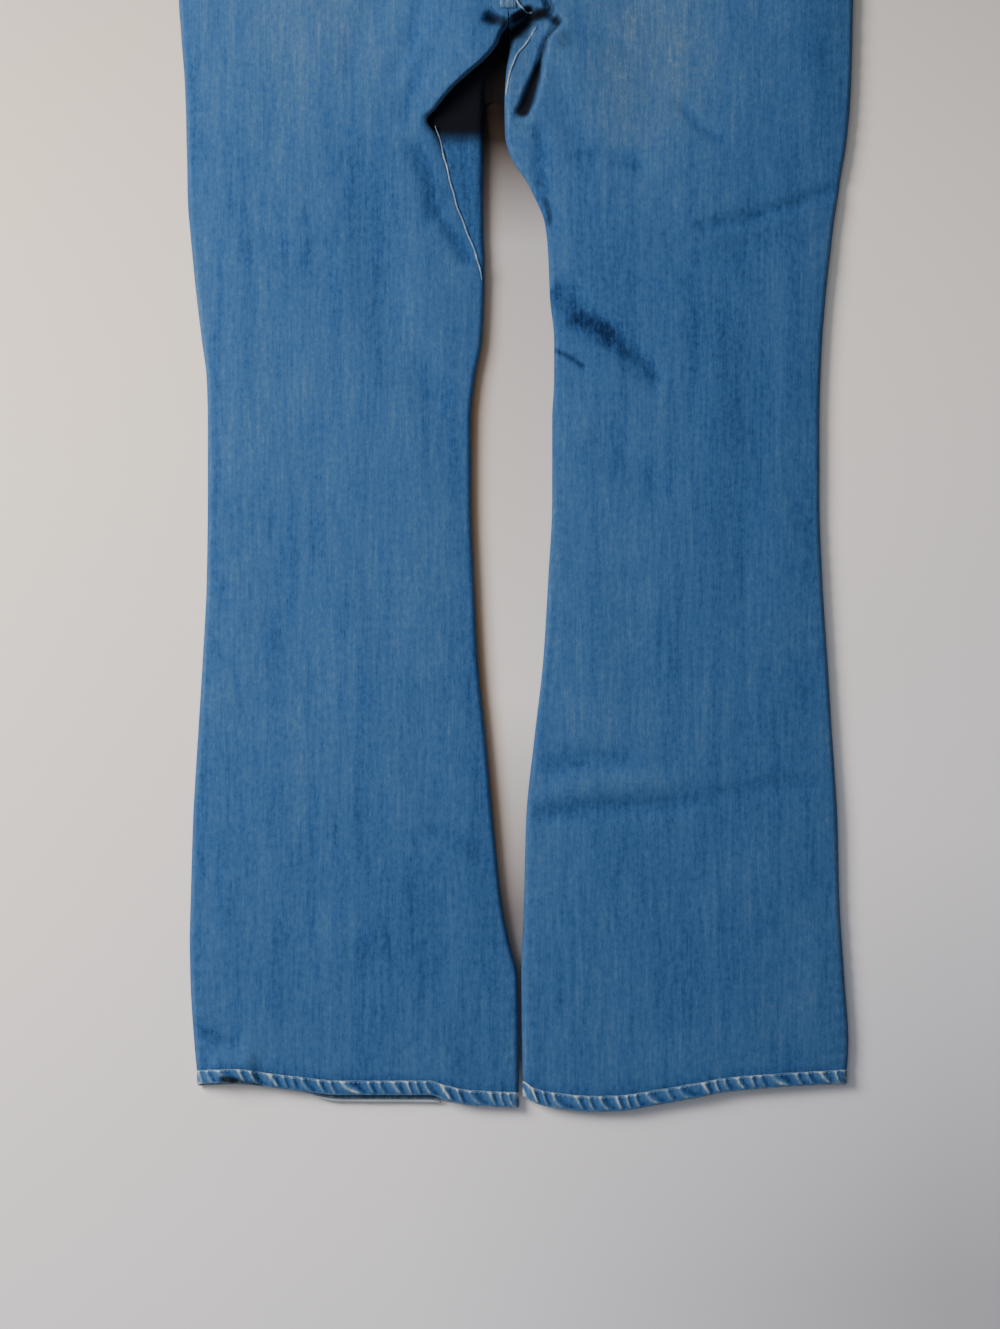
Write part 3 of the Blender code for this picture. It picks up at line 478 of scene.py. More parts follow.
# Folds too deep and narrow for light to reach their floor, on the fronts and on the hems.
SHADES = table(
    "x0 height0 x1 height1 bow width amount",
    (-9, 800, 11, 817, 1, 5.2, 1.0),
    (6, 816, 24, 821.5, 1, 4.2, 1.0),
    (-3, 816.5, 12, 824.5, 0, 3.4, 0.97),
    (-20, 817.5, -8, 813, 0, 4.6, 0.85),
    (22.5, 836, 27.5, 822, 1, 1.5, 0.75),
    (28, 818.5, 32.5, 812.5, 0, 3.4, 0.95),
    (31, 811, 21.5, 798, -2, 1.3, 0.75),
    (21.8, 799, 18.6, 786, 0, 1.6, 0.8),
    (33, 806, 37, 795, 0, 6.0, 0.26),
    (15.5, 696, 23, 691.5, 0, 1.6, 0.3),
    (21.5, 684, 25.6, 664, 1, 2.0, 0.5),
    (29.5, 569.5, 50, 557.5, 1, 1.5, 0.4),
)
# The right hem's outer corner has curled up: painted shade for the dark mouth under it.
HEM_SHADES = table(
    "x0 height0 x1 height1 bow width amount",
    (-221, 25.5, -207, 23, 0, 2.6, 0.95),
    (-208, 23.5, -190, 19, 0, 1.7, 0.6),
)
# Where the cloth is rubbed paler than the rest, or has stayed darker: soft patches of the front.
FADES = table(
    "x height wide tall amount",
    (-150, 815, 62, 80, 0.17),
    (95, 803, 78, 92, 0.21),
    (-120, 640, 38, 90, -0.04),
    (-78, 655, 26, 60, 0.06),
    (-180, 560, 36, 90, 0.03),
    (-70, 400, 40, 150, 0.05),
    (-190, 420, 40, 160, 0.03),
    (-120, 150, 90, 90, -0.03),
    (120, 560, 110, 120, -0.03),
    (60, 620, 40, 60, -0.05),
    (165, 460, 18, 120, -0.015),
    (60, 400, 30, 130, 0.03),
    (120, 250, 110, 220, -0.03),
    (205, 120, 40, 90, 0.04),
)


def at(rows, column, where, key="height"):
    """A column's value: a cubic between the table's rows that never overshoots them."""
    place = rows[key]
    value = rows[column]
    step = np.diff(place)
    slope = np.diff(value) / step
    product = slope[:-1] * slope[1:]
    rising = product > 0
    total = np.where(rising, slope[:-1] + slope[1:], 1)
    tangent = np.concatenate([slope[:1], np.where(rising, 2 * product / total, 0), slope[-1:]])
    x = np.clip(np.asarray(where, float), place[0], place[-1])
    k = np.clip(np.searchsorted(place, x) - 1, 0, len(step) - 1)
    t = (x - place[k]) / step[k]
    ends = value[k] * (1 + 2 * t) * (1 - t) ** 2 + value[k + 1] * t * t * (3 - 2 * t)
    return ends + step[k] * (tangent[k] * t * (1 - t) ** 2 - tangent[k + 1] * t * t * (1 - t))


# The board's shade follows the right leg's inner edge, so the board is made once its table is there.
board()


def smooth_step(value):
    """0 below 0, 1 above 1, and a soft rise between."""
    t = np.clip(value, 0, 1)
    return t * t * (3 - 2 * t)


def near_line(row, x, height, sharp=2):
    """1 on a row's bowed line, tapering to its ends, and falling off as a bell beside it."""
    along_x = row["x1"] - row["x0"]
    along_h = row["height1"] - row["height0"]
    length = math.hypot(along_x, along_h)
    across_x = x - row["x0"]
    across_h = height - row["height0"]
    t = (across_x * along_x + across_h * along_h) / length**2
    inside = np.clip(t, 0, 1)
    side = (across_h * along_x - across_x * along_h) / length - row["bow"] * 4 * inside * (1 - inside)
    distance = np.hypot(side, (t - inside) * length) / row["width"]
    taper = smooth_step((t + 0.2) / 0.35) * smooth_step((1.2 - t) / 0.35)
    return taper * np.exp(-(distance**sharp))


def creases(x, height, column="depth", rows=CREASES):
    """Troughs less ridges. Troughs that meet run into each other and don't add up."""
    troughs = 0
    ridges = 0
    for row in rows:
        here = row[column] * near_line(row, x, height)
        troughs = troughs + np.maximum(here, 0) ** 3
        ridges = ridges - np.minimum(here, 0)
    return np.cbrt(troughs) - ridges


def shades(rows, x, height):
    """How far the deep narrow folds of a table hide each point from the light."""
    total = 0 * x
    for row in rows:
        total = np.maximum(total, row["amount"] * near_line(row, x, height, 4))
    return total


def ripples(leg, x, height):
    """The slight unevenness of limp cloth: long waves, and puckers along the side seam and inseam."""
    waves = 0.30 * np.sin(x / 17 + 1.3 * np.sin(height / 71)) * np.sin(height / 58 + x / 90 + 0.7)
    waves = waves + 0.22 * np.sin(x / 8.3 + height / 47 + np.sin(height / 33)) * np.sin(height / 39 - x / 60)
    turn = height / 2.1 + 3.1 * np.sin(height / 37) + 1.7 * np.sin(height / 15.3)
    outer = np.abs(x - at(leg, "outer", height)) - 6
    inner = np.abs(x - at(leg, "seam", height)) - 6
    strength = 0.32 + 0.2 * np.sin(height / 53)
    puckers = strength * np.sin(turn) * np.exp(-((outer / 6) ** 2))
    return waves + puckers + 0.7 * strength * np.sin(turn + height / 9) * np.exp(-((inner / 5) ** 2))


def front_surface(leg, x, height):
    """Z of the front's outer side: flat at twice the edge radius, crowned between its edges, swollen at
    the crotch and creased. On the left leg the strip, slit and arch cut into it."""
    outer = np.abs(x - at(leg, "outer", height))
    inner = np.abs(x - at(leg, "fold", height))
    spread = at(BODY, "spread", height)
    hold = 1 - (1 - spread) * np.exp(-inner / 25)
    crown = at(BODY, "crown", height) * (1 - np.exp(-outer / 25)) * hold
    right_swell = 11 * np.exp(-(((x + 30) / 45) ** 2) - ((height - 800) / 55) ** 2)
    left_swell = 7 * np.exp(-(((x - 45) / 45) ** 2) - ((height - 795) / 55) ** 2)
    z = 2 * EDGE_RADIUS + crown + (right_swell + left_swell) * (0.25 + 0.75 * spread)
    z = z - creases(x, height) + ripples(leg, x, height)
    if leg is LEFT_LEG:
        across = (x - at(SLIT, "place", height)) / at(SLIT, "half_width", height)
        under_arch = 1 - smooth_step((height - at(ARCH, "height", x, "x")) / 3)
        z = z - at(SLIT, "step", height) * (1 - smooth_step(0.5 + 0.5 * across)) * under_arch
        pit = smooth_step((14 - x) / 6) * smooth_step((height - 801) / 8) * under_arch
        z = z - np.maximum(z - PIT_FLOOR, 0) * pit
        z = z - np.maximum(z - PIT_FLOOR, 0) * at(SLIT, "open", height) * np.exp(-(across**4))
    return z


def centre_seam(height):
    """X of the seam between the two halves."""
    return at(RIGHT_LEG, "fold", np.maximum(height, 823)) + SEAM_GAP / 2


def raised_fly(x, height):
    """How far the left front lies over the fly pieces."""
    from_centre = x - centre_seam(height)
    return (LAYER + 0.1) * smooth_step((height - FLY_FOOT) / 7) * smooth_step((58 - from_centre) / 12)


def hook(leg, height, back):
    """The inner edge of the back panel in a section: flat, then round the fold by half a circle, then
    flat again over the panel up to the seam. It gives the point at each length, and the whole length."""
    inward = 1 if leg is RIGHT_LEG else -1
    fold = at(leg, "fold", height)
    radius = at(leg, "radius", height)
    over = np.abs(fold - at(leg, "seam", height))
    angle = np.arccos(np.clip(1 - over / radius, 0, 1))
    round_length = radius * (math.pi / 2 + angle) + np.maximum(over - radius, 0)
    whole = round_length * (1 - smooth_step((height - 806) / 12))
    start = fold - inward * radius * np.sin(np.clip(whole / radius, 0, math.pi / 2))

    def point(length):
        turn = np.clip(length, 0, math.pi * radius) / radius
        rest = np.maximum(length - math.pi * radius, 0)
        before = np.minimum(length, 0)
        x = start + inward * (before + radius * np.sin(turn) - rest)
        return x, radius * (1 - np.cos(turn)) + at(BODY, "lift", height)

    apart = 0.15 * (1 - at(BODY, "joined", height))
    lying = 1.1 * smooth_step((height - 785) / 15) * (1 - at(BODY, "joined", height))
    under = 3.5 * overhang(leg, height) - apart
    return point, whole + (under if back else apart + lying)


def overhang(leg, height):
    """1 where the fold of the right thigh hangs out over the strip beside the inseam."""
    if leg is LEFT_LEG:
        return 0 * height
    return smooth_step((height - 732) / 10) * (1 - smooth_step((height - 800) / 10))


def hem_line(leg, x, side):
    """Height of the hem's lower edge."""
    return at(RIGHT_HEM if leg is RIGHT_LEG else LEFT_HEM, side, x, "x")


def along_leg(leg, x, height, side, top):
    """Real height of a section's point: the hem and the waist bend the sections near them."""
    falling = (1 - np.clip(height / 120, 0, 1) ** 1.4) ** 2
    half = np.abs(at(leg, "outer", height))
    across = np.cos(0.5 * math.pi * np.clip(np.abs(x) / half, 0, 1)) ** 2
    rising = smooth_step((height - WAIST_BEND) / (SIDE_TOP - WAIST_BEND))
    return height + hem_line(leg, x, side) * falling + (top - SIDE_TOP) * across * rising


def pocket_edge(leg, height):
    """The front's outer edge: the side seam, and above the pocket's foot a quarter ellipse inwards."""
    inward = 1 if leg is RIGHT_LEG else -1
    part = np.clip((SIDE_TOP - height) / POCKET_DEPTH, 0, 1)
    return at(leg, "outer", height) + inward * POCKET_WIDTH * np.sqrt(1 - part**2)


def front_section(leg, height, columns, edge_columns):
    """A front in sections: x and z from its outer edge to its inner one.

    Each edge is a quarter of an ellipse from the brow down to the seam. Where it ends on top of another
    piece, as at the pocket and the centre seam, it follows the surface.
    """
    inward = 1 if leg is RIGHT_LEG else -1
    height = height.reshape(-1, 1)
    joined = at(BODY, "joined", height)
    side = at(leg, "outer", height)
    outer = pocket_edge(leg, height)
    ends_flat = np.where(np.abs(outer - side) > 1, 1, 0)
    turn = np.linspace(math.pi / 2, 0, edge_columns)

    def surface(x):
        rise = raised_fly(x, height) if leg is LEFT_LEG else 0
        return front_surface(leg, x, height) + rise

    brow = outer + inward * EDGE_RADIUS
    seam_z = EDGE_RADIUS + SEAM_GAP / 2
    x_outer = brow + (outer - brow) * np.sin(turn)
    z_outer = seam_z + (surface(brow) - seam_z) * np.cos(turn)
    z_outer = z_outer + (surface(x_outer) - z_outer) * ends_flat
    point, length = hook(leg, height, back=False)
    seam, seam_low = point(length)
    if leg is LEFT_LEG:
        seam = seam - FLY_OVERLAP * smooth_step((height - FLY_FOOT - 7) / 8)
    over = overhang(leg, height)
    seam_z = seam_low + 0.4 * over + (surface(seam) - seam_low) * joined
    inner_brow = seam - inward * at(leg, "brow", height)
    last = math.pi / 2 + over * math.pi / 3
    turn = last * np.linspace(1, 0, edge_columns + 5)
    part = (np.cos(turn) - np.cos(last)) / (1 - np.cos(last))
    x_inner = inner_brow + (seam - inner_brow) * np.sin(turn)
    z_inner = seam_z + (surface(inner_brow) - seam_z) * part
    z_inner = z_inner + (surface(x_inner) - z_inner) * joined
    even = np.linspace(0, 1, columns + 2)[1:-1]
    if leg is LEFT_LEG:
        even = 1 - (1 - even) ** 1.6
    middle = brow + (inner_brow - brow) * even
    x = np.concatenate([x_outer, middle, x_inner[:, ::-1]], axis=1)
    z = np.concatenate([z_outer, surface(middle), z_inner[:, ::-1]], axis=1)
    return x, z


def back_section(leg, height, columns, edge_columns, turned):
    """A back in sections: up the outer edge, flat on the board, and round the inner fold."""
    inward = 1 if leg is RIGHT_LEG else -1
    height = height.reshape(-1, 1)
    outer = at(leg, "outer", height)
    lift = at(BODY, "lift", height)
    turn = np.linspace(0, math.pi / 2, edge_columns)
    x_outer = outer + inward * EDGE_RADIUS * (1 - np.cos(turn))
    z_outer = lift + (EDGE_RADIUS - SEAM_GAP / 2 - lift) * (1 - np.sin(turn))
    point, length = hook(leg, height, back=True)
    part = np.linspace(0, 1, turned)
    x_inner, z_inner = point(length * part - 12 * (1 - part))
    even = np.linspace(0, 1, columns + 2)[1:-1]
    x_flat = x_outer[:, -1:] + (x_inner[:, :1] - x_outer[:, -1:]) * even
    z_flat = lift + 0 * x_flat
    return np.concatenate([x_outer, x_flat, x_inner], 1), np.concatenate([z_outer, z_flat, z_inner], 1)


def fades(x, height):
    """How much paler than the plain cloth each point is: a sum of soft patches, less the creases, whose
    darkening is partly kept indigo and partly painted shade.
    """
    total = 0
    for patch in FADES:
        across = (x - patch["x"]) / patch["wide"]
        along = (height - patch["height"]) / patch["tall"]
        total = total + patch["amount"] * np.exp(-(across**2) - along**2)
    return total - creases(x, height, "unworn")


def shell(name, x, y, z, finish, numbers, thickness=CLOTH):
    """A grid of points, in millimetres, as a cloth wall: the grid is its outer side."""
    rows, columns = x.shape
    k, j = np.meshgrid(np.arange(rows - 1), np.arange(columns - 1), indexing="ij")
    first = (k * columns + j).ravel()
    corners = np.stack([first, first + 1, first + columns + 1, first + columns], axis=1)
    mesh = bpy.data.meshes.new(name)
    mesh.vertices.add(x.size)
    mesh.loops.add(corners.size)
    mesh.polygons.add(len(corners))
    points = np.stack([x, y - MID_LENGTH, z], axis=2) / 1000
    mesh.vertices.foreach_set("co", points.astype(np.float32).ravel())
    mesh.loops.foreach_set("vertex_index", corners.ravel())
    mesh.polygons.foreach_set("loop_start", np.arange(0, corners.size, 4))
    mesh.update(calc_edges=True)
    mesh.shade_smooth()
    for key, value in numbers.items():
        held = mesh.attributes.new(key, "FLOAT", "POINT")
        held.data.foreach_set("value", np.broadcast_to(value, x.shape).astype(np.float32).ravel())
    mesh.materials.append(finish.material)
    made = bpy.data.objects.new(name, mesh)
    bpy.context.scene.collection.objects.link(made)
    wall = made.modifiers.new("thickness", "SOLIDIFY")
    wall.thickness = thickness / 1000
    wall.offset = -1
    return made


def placed(piece, slot, *nodes):
    """The piece rides with the jeans and stands for its nodes. Its slot is not used."""
    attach(piece, "root")
    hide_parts(*nodes)
    return piece


def denim(name, paler=0.0, shade=(0.002, 0.003, 0.007)):
    """Washed denim: indigo warp with vertical slubs over a white weft, so it is streaked along the leg.

    A number held at each point makes the cloth paler or darker: wear, with painted light and painted
    shade added on some pieces. Deep, another, is painted shade: how far a fold hides a point from light,
    which takes it towards the shade colour.
    """
    finish = Finish(name, roughness=0.92, sheen=0.03)
    finish.shader.inputs["Specular IOR Level"].default_value = 0.15
    slub = finish.noise((430.0, 30.0, 300.0), 4.0, 0.7)
    streak = finish.noise((95.0, 6.0, 70.0), 5.0, 0.65)
    band = finish.noise((30.0, 5.0, 30.0), 3.0, 0.6)
    cloud = finish.noise((15.0, 11.0, 16.0), 4.0, 0.65)
    mottle = finish.noise((300.0, 210.0, 330.0), 6.0, 0.8)
    wear_and_painted_light = finish.measured("wear_and_painted_light") + 0.39 + paler
    wear_and_painted_light = wear_and_painted_light + 0.50 * slub + 0.40 * streak + 0.16 * band + 0.24 * cloud + 0.78 * mottle
    colour = finish.ramp(
        wear_and_painted_light,
        (0.0, (0.003, 0.016, 0.062)),
        (0.15, (0.012, 0.050, 0.150)),
        (0.32, (0.026, 0.088, 0.226)),
        (0.46, (0.039, 0.110, 0.252)),
        (0.65, (0.071, 0.150, 0.275)),
        (0.82, (0.150, 0.230, 0.340)),
        (1.0, (0.40, 0.45, 0.50)),
    )
    finish.coloured(finish.mix(finish.measured("deep"), colour, shade))
    twill = finish.noise((1500.0, 700.0, 900.0), 2.0)
    finish.raised(0.5 * slub + 0.6 * mottle + 0.35 * twill, 0.0006)
    return finish


leg_denim = denim("leg_denim")


def front_panel(name, leg, node):
    """A front: its sections from the hem to the waistband, closer together from the knee to the fly.

    Deep is painted shade in the closed folds and the slit, and the underside of the thigh where it hangs
    over is made paler as painted light.
    """
    heights = np.concatenate([
        [HEM_DEPTH + SEAM_GAP],
        np.arange(HEM_DEPTH + 2 * SEAM_GAP, KNEE, PANEL_ROW),
        np.arange(KNEE, WAIST_BEND, CROTCH_ROW),
        np.linspace(WAIST_BEND, SIDE_TOP - 2 * SEAM_GAP, 52),
        [SIDE_TOP - SEAM_GAP],
    ])
    x, z = front_section(leg, heights, PANEL_COLUMNS, EDGE_COLUMNS)
    tall = heights.reshape(-1, 1) + 0 * x
    y = along_leg(leg, x, tall, "front", CENTRE_FRONT_TOP)
    wear_and_painted_light = fades(x, tall)
    from_side = np.abs(x - at(leg, "outer", tall))
    # The outer edge is rubbed pale. On the left leg it is made paler still: painted light on the edge that
    # turns away from the window.
    rubbed_and_painted_light = 0.07 if leg is RIGHT_LEG else 0.14
    wear_and_painted_light = wear_and_painted_light + rubbed_and_painted_light * np.exp(-(((from_side - 2.0) / 1.8) ** 2))
    wear_and_painted_light = wear_and_painted_light - 0.04 * np.exp(-(((from_side - 6) / 2) ** 2))
    wear_and_painted_light = wear_and_painted_light - 0.12 * np.exp(-(((tall - HEM_DEPTH) / 5) ** 2))
    # Painted light: the turned underside of the thigh, where it hangs over the strip, is made paler.
    turned = overhang(leg, tall) * np.exp(-(((x - at(leg, "seam", tall)) / 3) ** 2))
    wear_and_painted_light = wear_and_painted_light + 0.2 * turned
    deep = shades(SHADES, x, tall)
    if leg is LEFT_LEG:
        # Painted shade: the floor of the slit is made near black.
        across = (x - at(SLIT, "place", tall)) / at(SLIT, "half_width", tall)
        foot = np.abs(across) ** 2.5 * 4
        shown = smooth_step((tall - 741 - foot) / 5) * (1 - smooth_step((tall - 784) / 6))
        deep = np.maximum(deep, shown * np.exp(-(np.abs(across) ** 6)))
        x, y, z, wear_and_painted_light, deep = (grid[:, ::-1] for grid in (x, y, z, wear_and_painted_light, deep))
    made = shell(name, x, y, z, leg_denim, {"wear_and_painted_light": wear_and_painted_light, "deep": deep})
    return placed(made, "denim", node), (x, y, z)


BACK_TOP = 965.0
YOKE_SEAM_LOW = 958.0
YOKE_SEAM_RISE = 18.0


def yoke_line(x):
    """Height of the seam under the yoke: lowest at the centre back."""
    return YOKE_SEAM_LOW + YOKE_SEAM_RISE * np.clip(np.abs(x) / 240, 0, 1)


def back_panel(name, leg, node):
    """A back from hem to yoke. The right one's inner edge turns over onto the front below the crotch."""
    heights = np.concatenate([
        np.arange(HEM_DEPTH + SEAM_GAP, 600, 6.0),
        np.arange(600, 830, 2.5),
        np.linspace(832, BACK_TOP, 24),
    ])
    x, z = back_section(leg, heights, 34, 7, 22)
    tall = heights.reshape(-1, 1) + 0 * x
    y = along_leg(leg, x, np.minimum(tall, WAIST_BEND), "back", CENTRE_BACK_TOP)
    y = y + np.maximum(tall - WAIST_BEND, 0)
    raised = smooth_step((tall - WAIST_BEND) / (BACK_TOP - WAIST_BEND))
    y = y + (yoke_line(x) - SEAM_GAP / 2 - BACK_TOP) * raised
    inside = np.minimum(np.abs(x - at(leg, "outer", tall)), np.abs(x - at(leg, "fold", tall)))
    flat = smooth_step((inside - 8) / 14) * (z < at(BODY, "lift", tall) + 0.02)
    z = z + flat * creases(x, tall, "depth", BACK_CREASES)
    wear_and_painted_light = -flat * creases(x, tall, "unworn", BACK_CREASES)
    deep = 0 * x
    if leg is RIGHT_LEG:
        # Painted shade on the right back's turned edge: near black from about 720 mm up, under the
        # overhanging thigh, and darker from about 630 mm up.
        upper = smooth_step((z - at(BODY, "lift", tall)) / at(leg, "radius", tall) - 0.3)
        deep = upper * smooth_step((tall - 719) / 16) * smooth_step((x + 90) / 10)
        wear_and_painted_light = wear_and_painted_light - 0.13 * upper * smooth_step((tall - 628) / 20)
        x, y, z, wear_and_painted_light, deep = (grid[:, ::-1] for grid in (x, y, z, wear_and_painted_light, deep))
    made = shell(name, x, y, z, leg_denim, {"wear_and_painted_light": wear_and_painted_light, "deep": deep})
    return placed(made, "denim", node), (x, y, z)


right_front, right_front_grid = front_panel("right_front", RIGHT_LEG, "right_front_panel")
left_front, left_front_grid = front_panel("left_front", LEFT_LEG, "left_front_panel")
right_back, right_back_grid = back_panel("right_back", RIGHT_LEG, "right_back_panel")
left_back, left_back_grid = back_panel("left_back", LEFT_LEG, "left_back_panel")


# Each hem is turned up twice and stitched. Washing has roped it: pale ridges lean across it about every
# 10 mm, unevenly, with blue hollows between them, and its upper edge is rubbed to a pale line.
HEM_CLOTH = 2.6
ROPE_PITCH = 10.0
hem_denim = denim("hem_denim", 0.02)


def rope(x, part):
    """Height of the ridges, from 0 to 1, at a place along the hem and across it."""
    uneven = 0.34 * np.sin(x / 13) + 0.22 * np.sin(x / 5.1 + 2) + 0.25 * np.sin(x / 41)
    turn = (x + 6 * part + 1.2 * np.sin(3 * part)) / ROPE_PITCH + uneven
    near = np.abs(turn - np.round(turn))
    strength = 0.72 + 0.28 * np.sin(x / 19 + 1) * np.sin(x / 7)
    return strength * np.exp(-((near / 0.13) ** 2)), turn - np.floor(turn)


def front_hem(name, leg, node):
    """The hem on top of a leg, 12 mm deep, as a thick strip with a rolled lower edge."""
    section_x, section_z = front_section(leg, np.array([HEM_DEPTH + SEAM_GAP]), 280, EDGE_COLUMNS)
    part = np.concatenate([[0], np.linspace(0.02, 0.98, 15), [1]]).reshape(-1, 1) + 0 * section_x
    x = section_x + 0 * part
    top = along_leg(leg, x, HEM_DEPTH + SEAM_GAP, "front", CENTRE_FRONT_TOP) - 0.1
    bottom = along_leg(leg, x, 0.0, "front", CENTRE_FRONT_TOP)
    height = bottom + (top - bottom) * part
    ridge, turned = rope(x, part)
    across = smooth_step(part / 0.2) * (1 - smooth_step((part - 0.86) / 0.14))
    from_outer = np.abs(x - section_x[0, 0])
    from_inner = np.abs(x - section_x[0, -1])
    ends = smooth_step((from_outer - 2) / 5) * smooth_step((from_inner - 2) / 5)
    rolled = 0.8 * np.sin(math.pi * np.clip(part, 0, 1)) ** 0.6 - 0.5 * (1 - smooth_step(part / 0.15))
    edge = np.exp(-(((part - 0.87 - 0.07 * np.sin(math.pi * turned)) / 0.07) ** 2))
    edge = edge * (0.75 + 0.25 * np.sin(x / 11) * np.sin(x / 4.3))
    hollow = np.exp(-(((turned - 0.32) / 0.2) ** 2)) * across
    corner = np.exp(-((from_outer / 7) ** 2)) + np.exp(-((from_inner / 12) ** 2))
    bumps = corner * (0.5 + 0.5 * np.sin(x / 1.9 + 7 * part) * np.sin(5 * part + 1))
    raised = rolled + 1.0 * ridge * across + 0.4 * edge - 0.6 * hollow
    z = section_z + ends * raised + 0.5 * bumps * across
    wear_and_painted_light = 0.03 + 0.62 * ridge * across + 0.52 * edge + 0.30 * np.exp(-((part / 0.10) ** 2))
    wear_and_painted_light = wear_and_painted_light - 0.30 * hollow * (1 - 0.6 * np.clip(corner, 0, 1)) + 0.30 * bumps
    deep = shades(HEM_SHADES, x, height) if leg is RIGHT_LEG else 0 * x
    grids = x, height, z, wear_and_painted_light, deep
    if leg is LEFT_LEG:
        grids = tuple(grid[:, ::-1] for grid in grids)
    x, height, z, wear_and_painted_light, deep = grids
    made = shell(name, x, height, z, hem_denim, {"wear_and_painted_light": wear_and_painted_light, "deep": deep}, HEM_CLOTH)
    return placed(made, "worn_seam", node)


def back_hem(name, leg, node):
    """The hem under a leg. Where it peeks out below the front one, its rubbed edge shows, made paler still
    as painted light on its shaded rim.
    """
    part = np.linspace(0, 1, 9).reshape(-1, 1)
    tall = part * (HEM_DEPTH - SEAM_GAP / 2)
    section_x, section_z = back_section(leg, np.array([6.0]), 150, 7, 9)
    x = section_x + 0 * part
    y = along_leg(leg, x, tall, "back", CENTRE_BACK_TOP)
    ridge = rope(x + 4, part)[0]
    wear_and_painted_light = 0.10 * ridge + 0.65 * np.exp(-((part / 0.16) ** 2))
    z = section_z + 0 * part
    grids = x, y, z, wear_and_painted_light
    if leg is RIGHT_LEG:
        grids = tuple(grid[:, ::-1] for grid in grids)
    x, y, z, wear_and_painted_light = grids
    made = shell(name, x, y, z, hem_denim, {"wear_and_painted_light": wear_and_painted_light, "deep": 0 * x}, HEM_CLOTH)
    return placed(made, "worn_seam", node)


right_front_hem = front_hem("right_hem_front", RIGHT_LEG, "right_front_hem")
left_front_hem = front_hem("left_hem_front", LEFT_LEG, "left_front_hem")
right_back_hem = back_hem("right_hem_back", RIGHT_LEG, "right_back_hem")
left_back_hem = back_hem("left_hem_back", LEFT_LEG, "left_back_hem")


# Along the two inseams, where a back is sewn to its front, the turned edge of the denim has been rubbed
# pale. It stands up as a thin ridge, made as a cord half sunk in the front's edge.
INSEAM_RIGHT = table(
    "height x",
    (618, -24.4),
    (636, -28.5),
    (657, -36),
    (683, -45.8),
    (713, -53.3),
    (730, -58.0),
    (739, -61.0),
)
INSEAM_LEFT = table(
    "height x",
    (735, -7.6),
    (743.4, -7.9),
    (755.5, -7.6),
    (764, -7.0),
    (772.7, -5.3),
    (781, -3.6),
    (790.5, 0.5),
    (797.4, 6.3),
    (808, 13.2),
    (814, 17.2),
)
edge_finish = denim("worn_edge", 0.42)


def on_front(leg, x, height):
    """Z of the front's outer side at each point of a path, its rounded edges included."""
    found = []
    for one_x, one_height in zip(x, height):
        section_x, section_z = front_section(leg, np.array([one_height]), 60, EDGE_COLUMNS)
        order = np.argsort(section_x[0])
        found.append(np.interp(one_x, section_x[0][order], section_z[0][order]))
    return np.array(found)


def cord(name, path, radius, finish, sides=8):
    """A closed tube along a path of points, in millimetres, thinner at both ends."""
    along = np.gradient(path, axis=0)
    along = along / np.linalg.norm(along, axis=1, keepdims=True)
    side = np.cross(along, (0, 0, 1))
    side = side / np.linalg.norm(side, axis=1, keepdims=True)
    up = np.cross(side, along)
    turn = np.linspace(0, 2 * math.pi, sides, endpoint=False)
    share = np.linspace(0, 1, len(path))
    thick = radius * np.clip(np.minimum(share, 1 - share) * 12 + 0.3, 0, 1)
    ring = side[:, None] * np.cos(turn)[None, :, None] + up[:, None] * np.sin(turn)[None, :, None]
    points = path[:, None] + ring * thick[:, None, None]
    return tube(name, points, finish)


def tube(name, points, finish):
    """Rings of points joined into a skin, with a cap at each end."""
    count, sides = points.shape[:2]
    k, j = np.meshgrid(np.arange(count - 1), np.arange(sides), indexing="ij")
    after = (j + 1) % sides
    this = k * sides
    following = this + sides
    corners = np.stack([this + j, this + after, following + after, following + j], axis=2)
    faces = corners.reshape(-1, 4).tolist()
    faces.append(list(range(sides - 1, -1, -1)))
    faces.append(list(range((count - 1) * sides, count * sides)))
    mesh = bpy.data.meshes.new(name)
    placed_points = (points.reshape(-1, 3) - (0, MID_LENGTH, 0)) / 1000
    mesh.from_pydata(placed_points.tolist(), [], faces)
    mesh.shade_smooth()
    mesh.materials.append(finish.material)
    made = bpy.data.objects.new(name, mesh)
    bpy.context.scene.collection.objects.link(made)
    return made


def inseam(name, leg, rows, low, high):
    """The cord of one inseam: it lies half sunk in the front's edge."""
    height = np.arange(low, high, 1.5)
    wander = 0.25 * np.sin(height / 3.1) + 0.2 * np.sin(height / 7.7)
    x = at(rows, "x", height) + wander
    z = on_front(leg, x, height) + 0.25
    y = along_leg(leg, x, height, "front", CENTRE_FRONT_TOP)
    made = cord(name, np.stack([x, y, z], axis=1), 0.75, edge_finish)
    return placed(made, "worn_seam")


right_inseam = inseam("right_inseam_edge", RIGHT_LEG, INSEAM_RIGHT, 622, 738)
left_inseam = inseam("left_inseam_edge", LEFT_LEG, INSEAM_LEFT, 760, 813)


# At the crotch the denim of the seat sags between the legs, sewn to both backs. It lies in their shadow,
# and its near-black colour is painted shadow; it ends where the gap between the legs widens.
SEAT_FOOT = 752.0
SEAT_TOP = 813.0


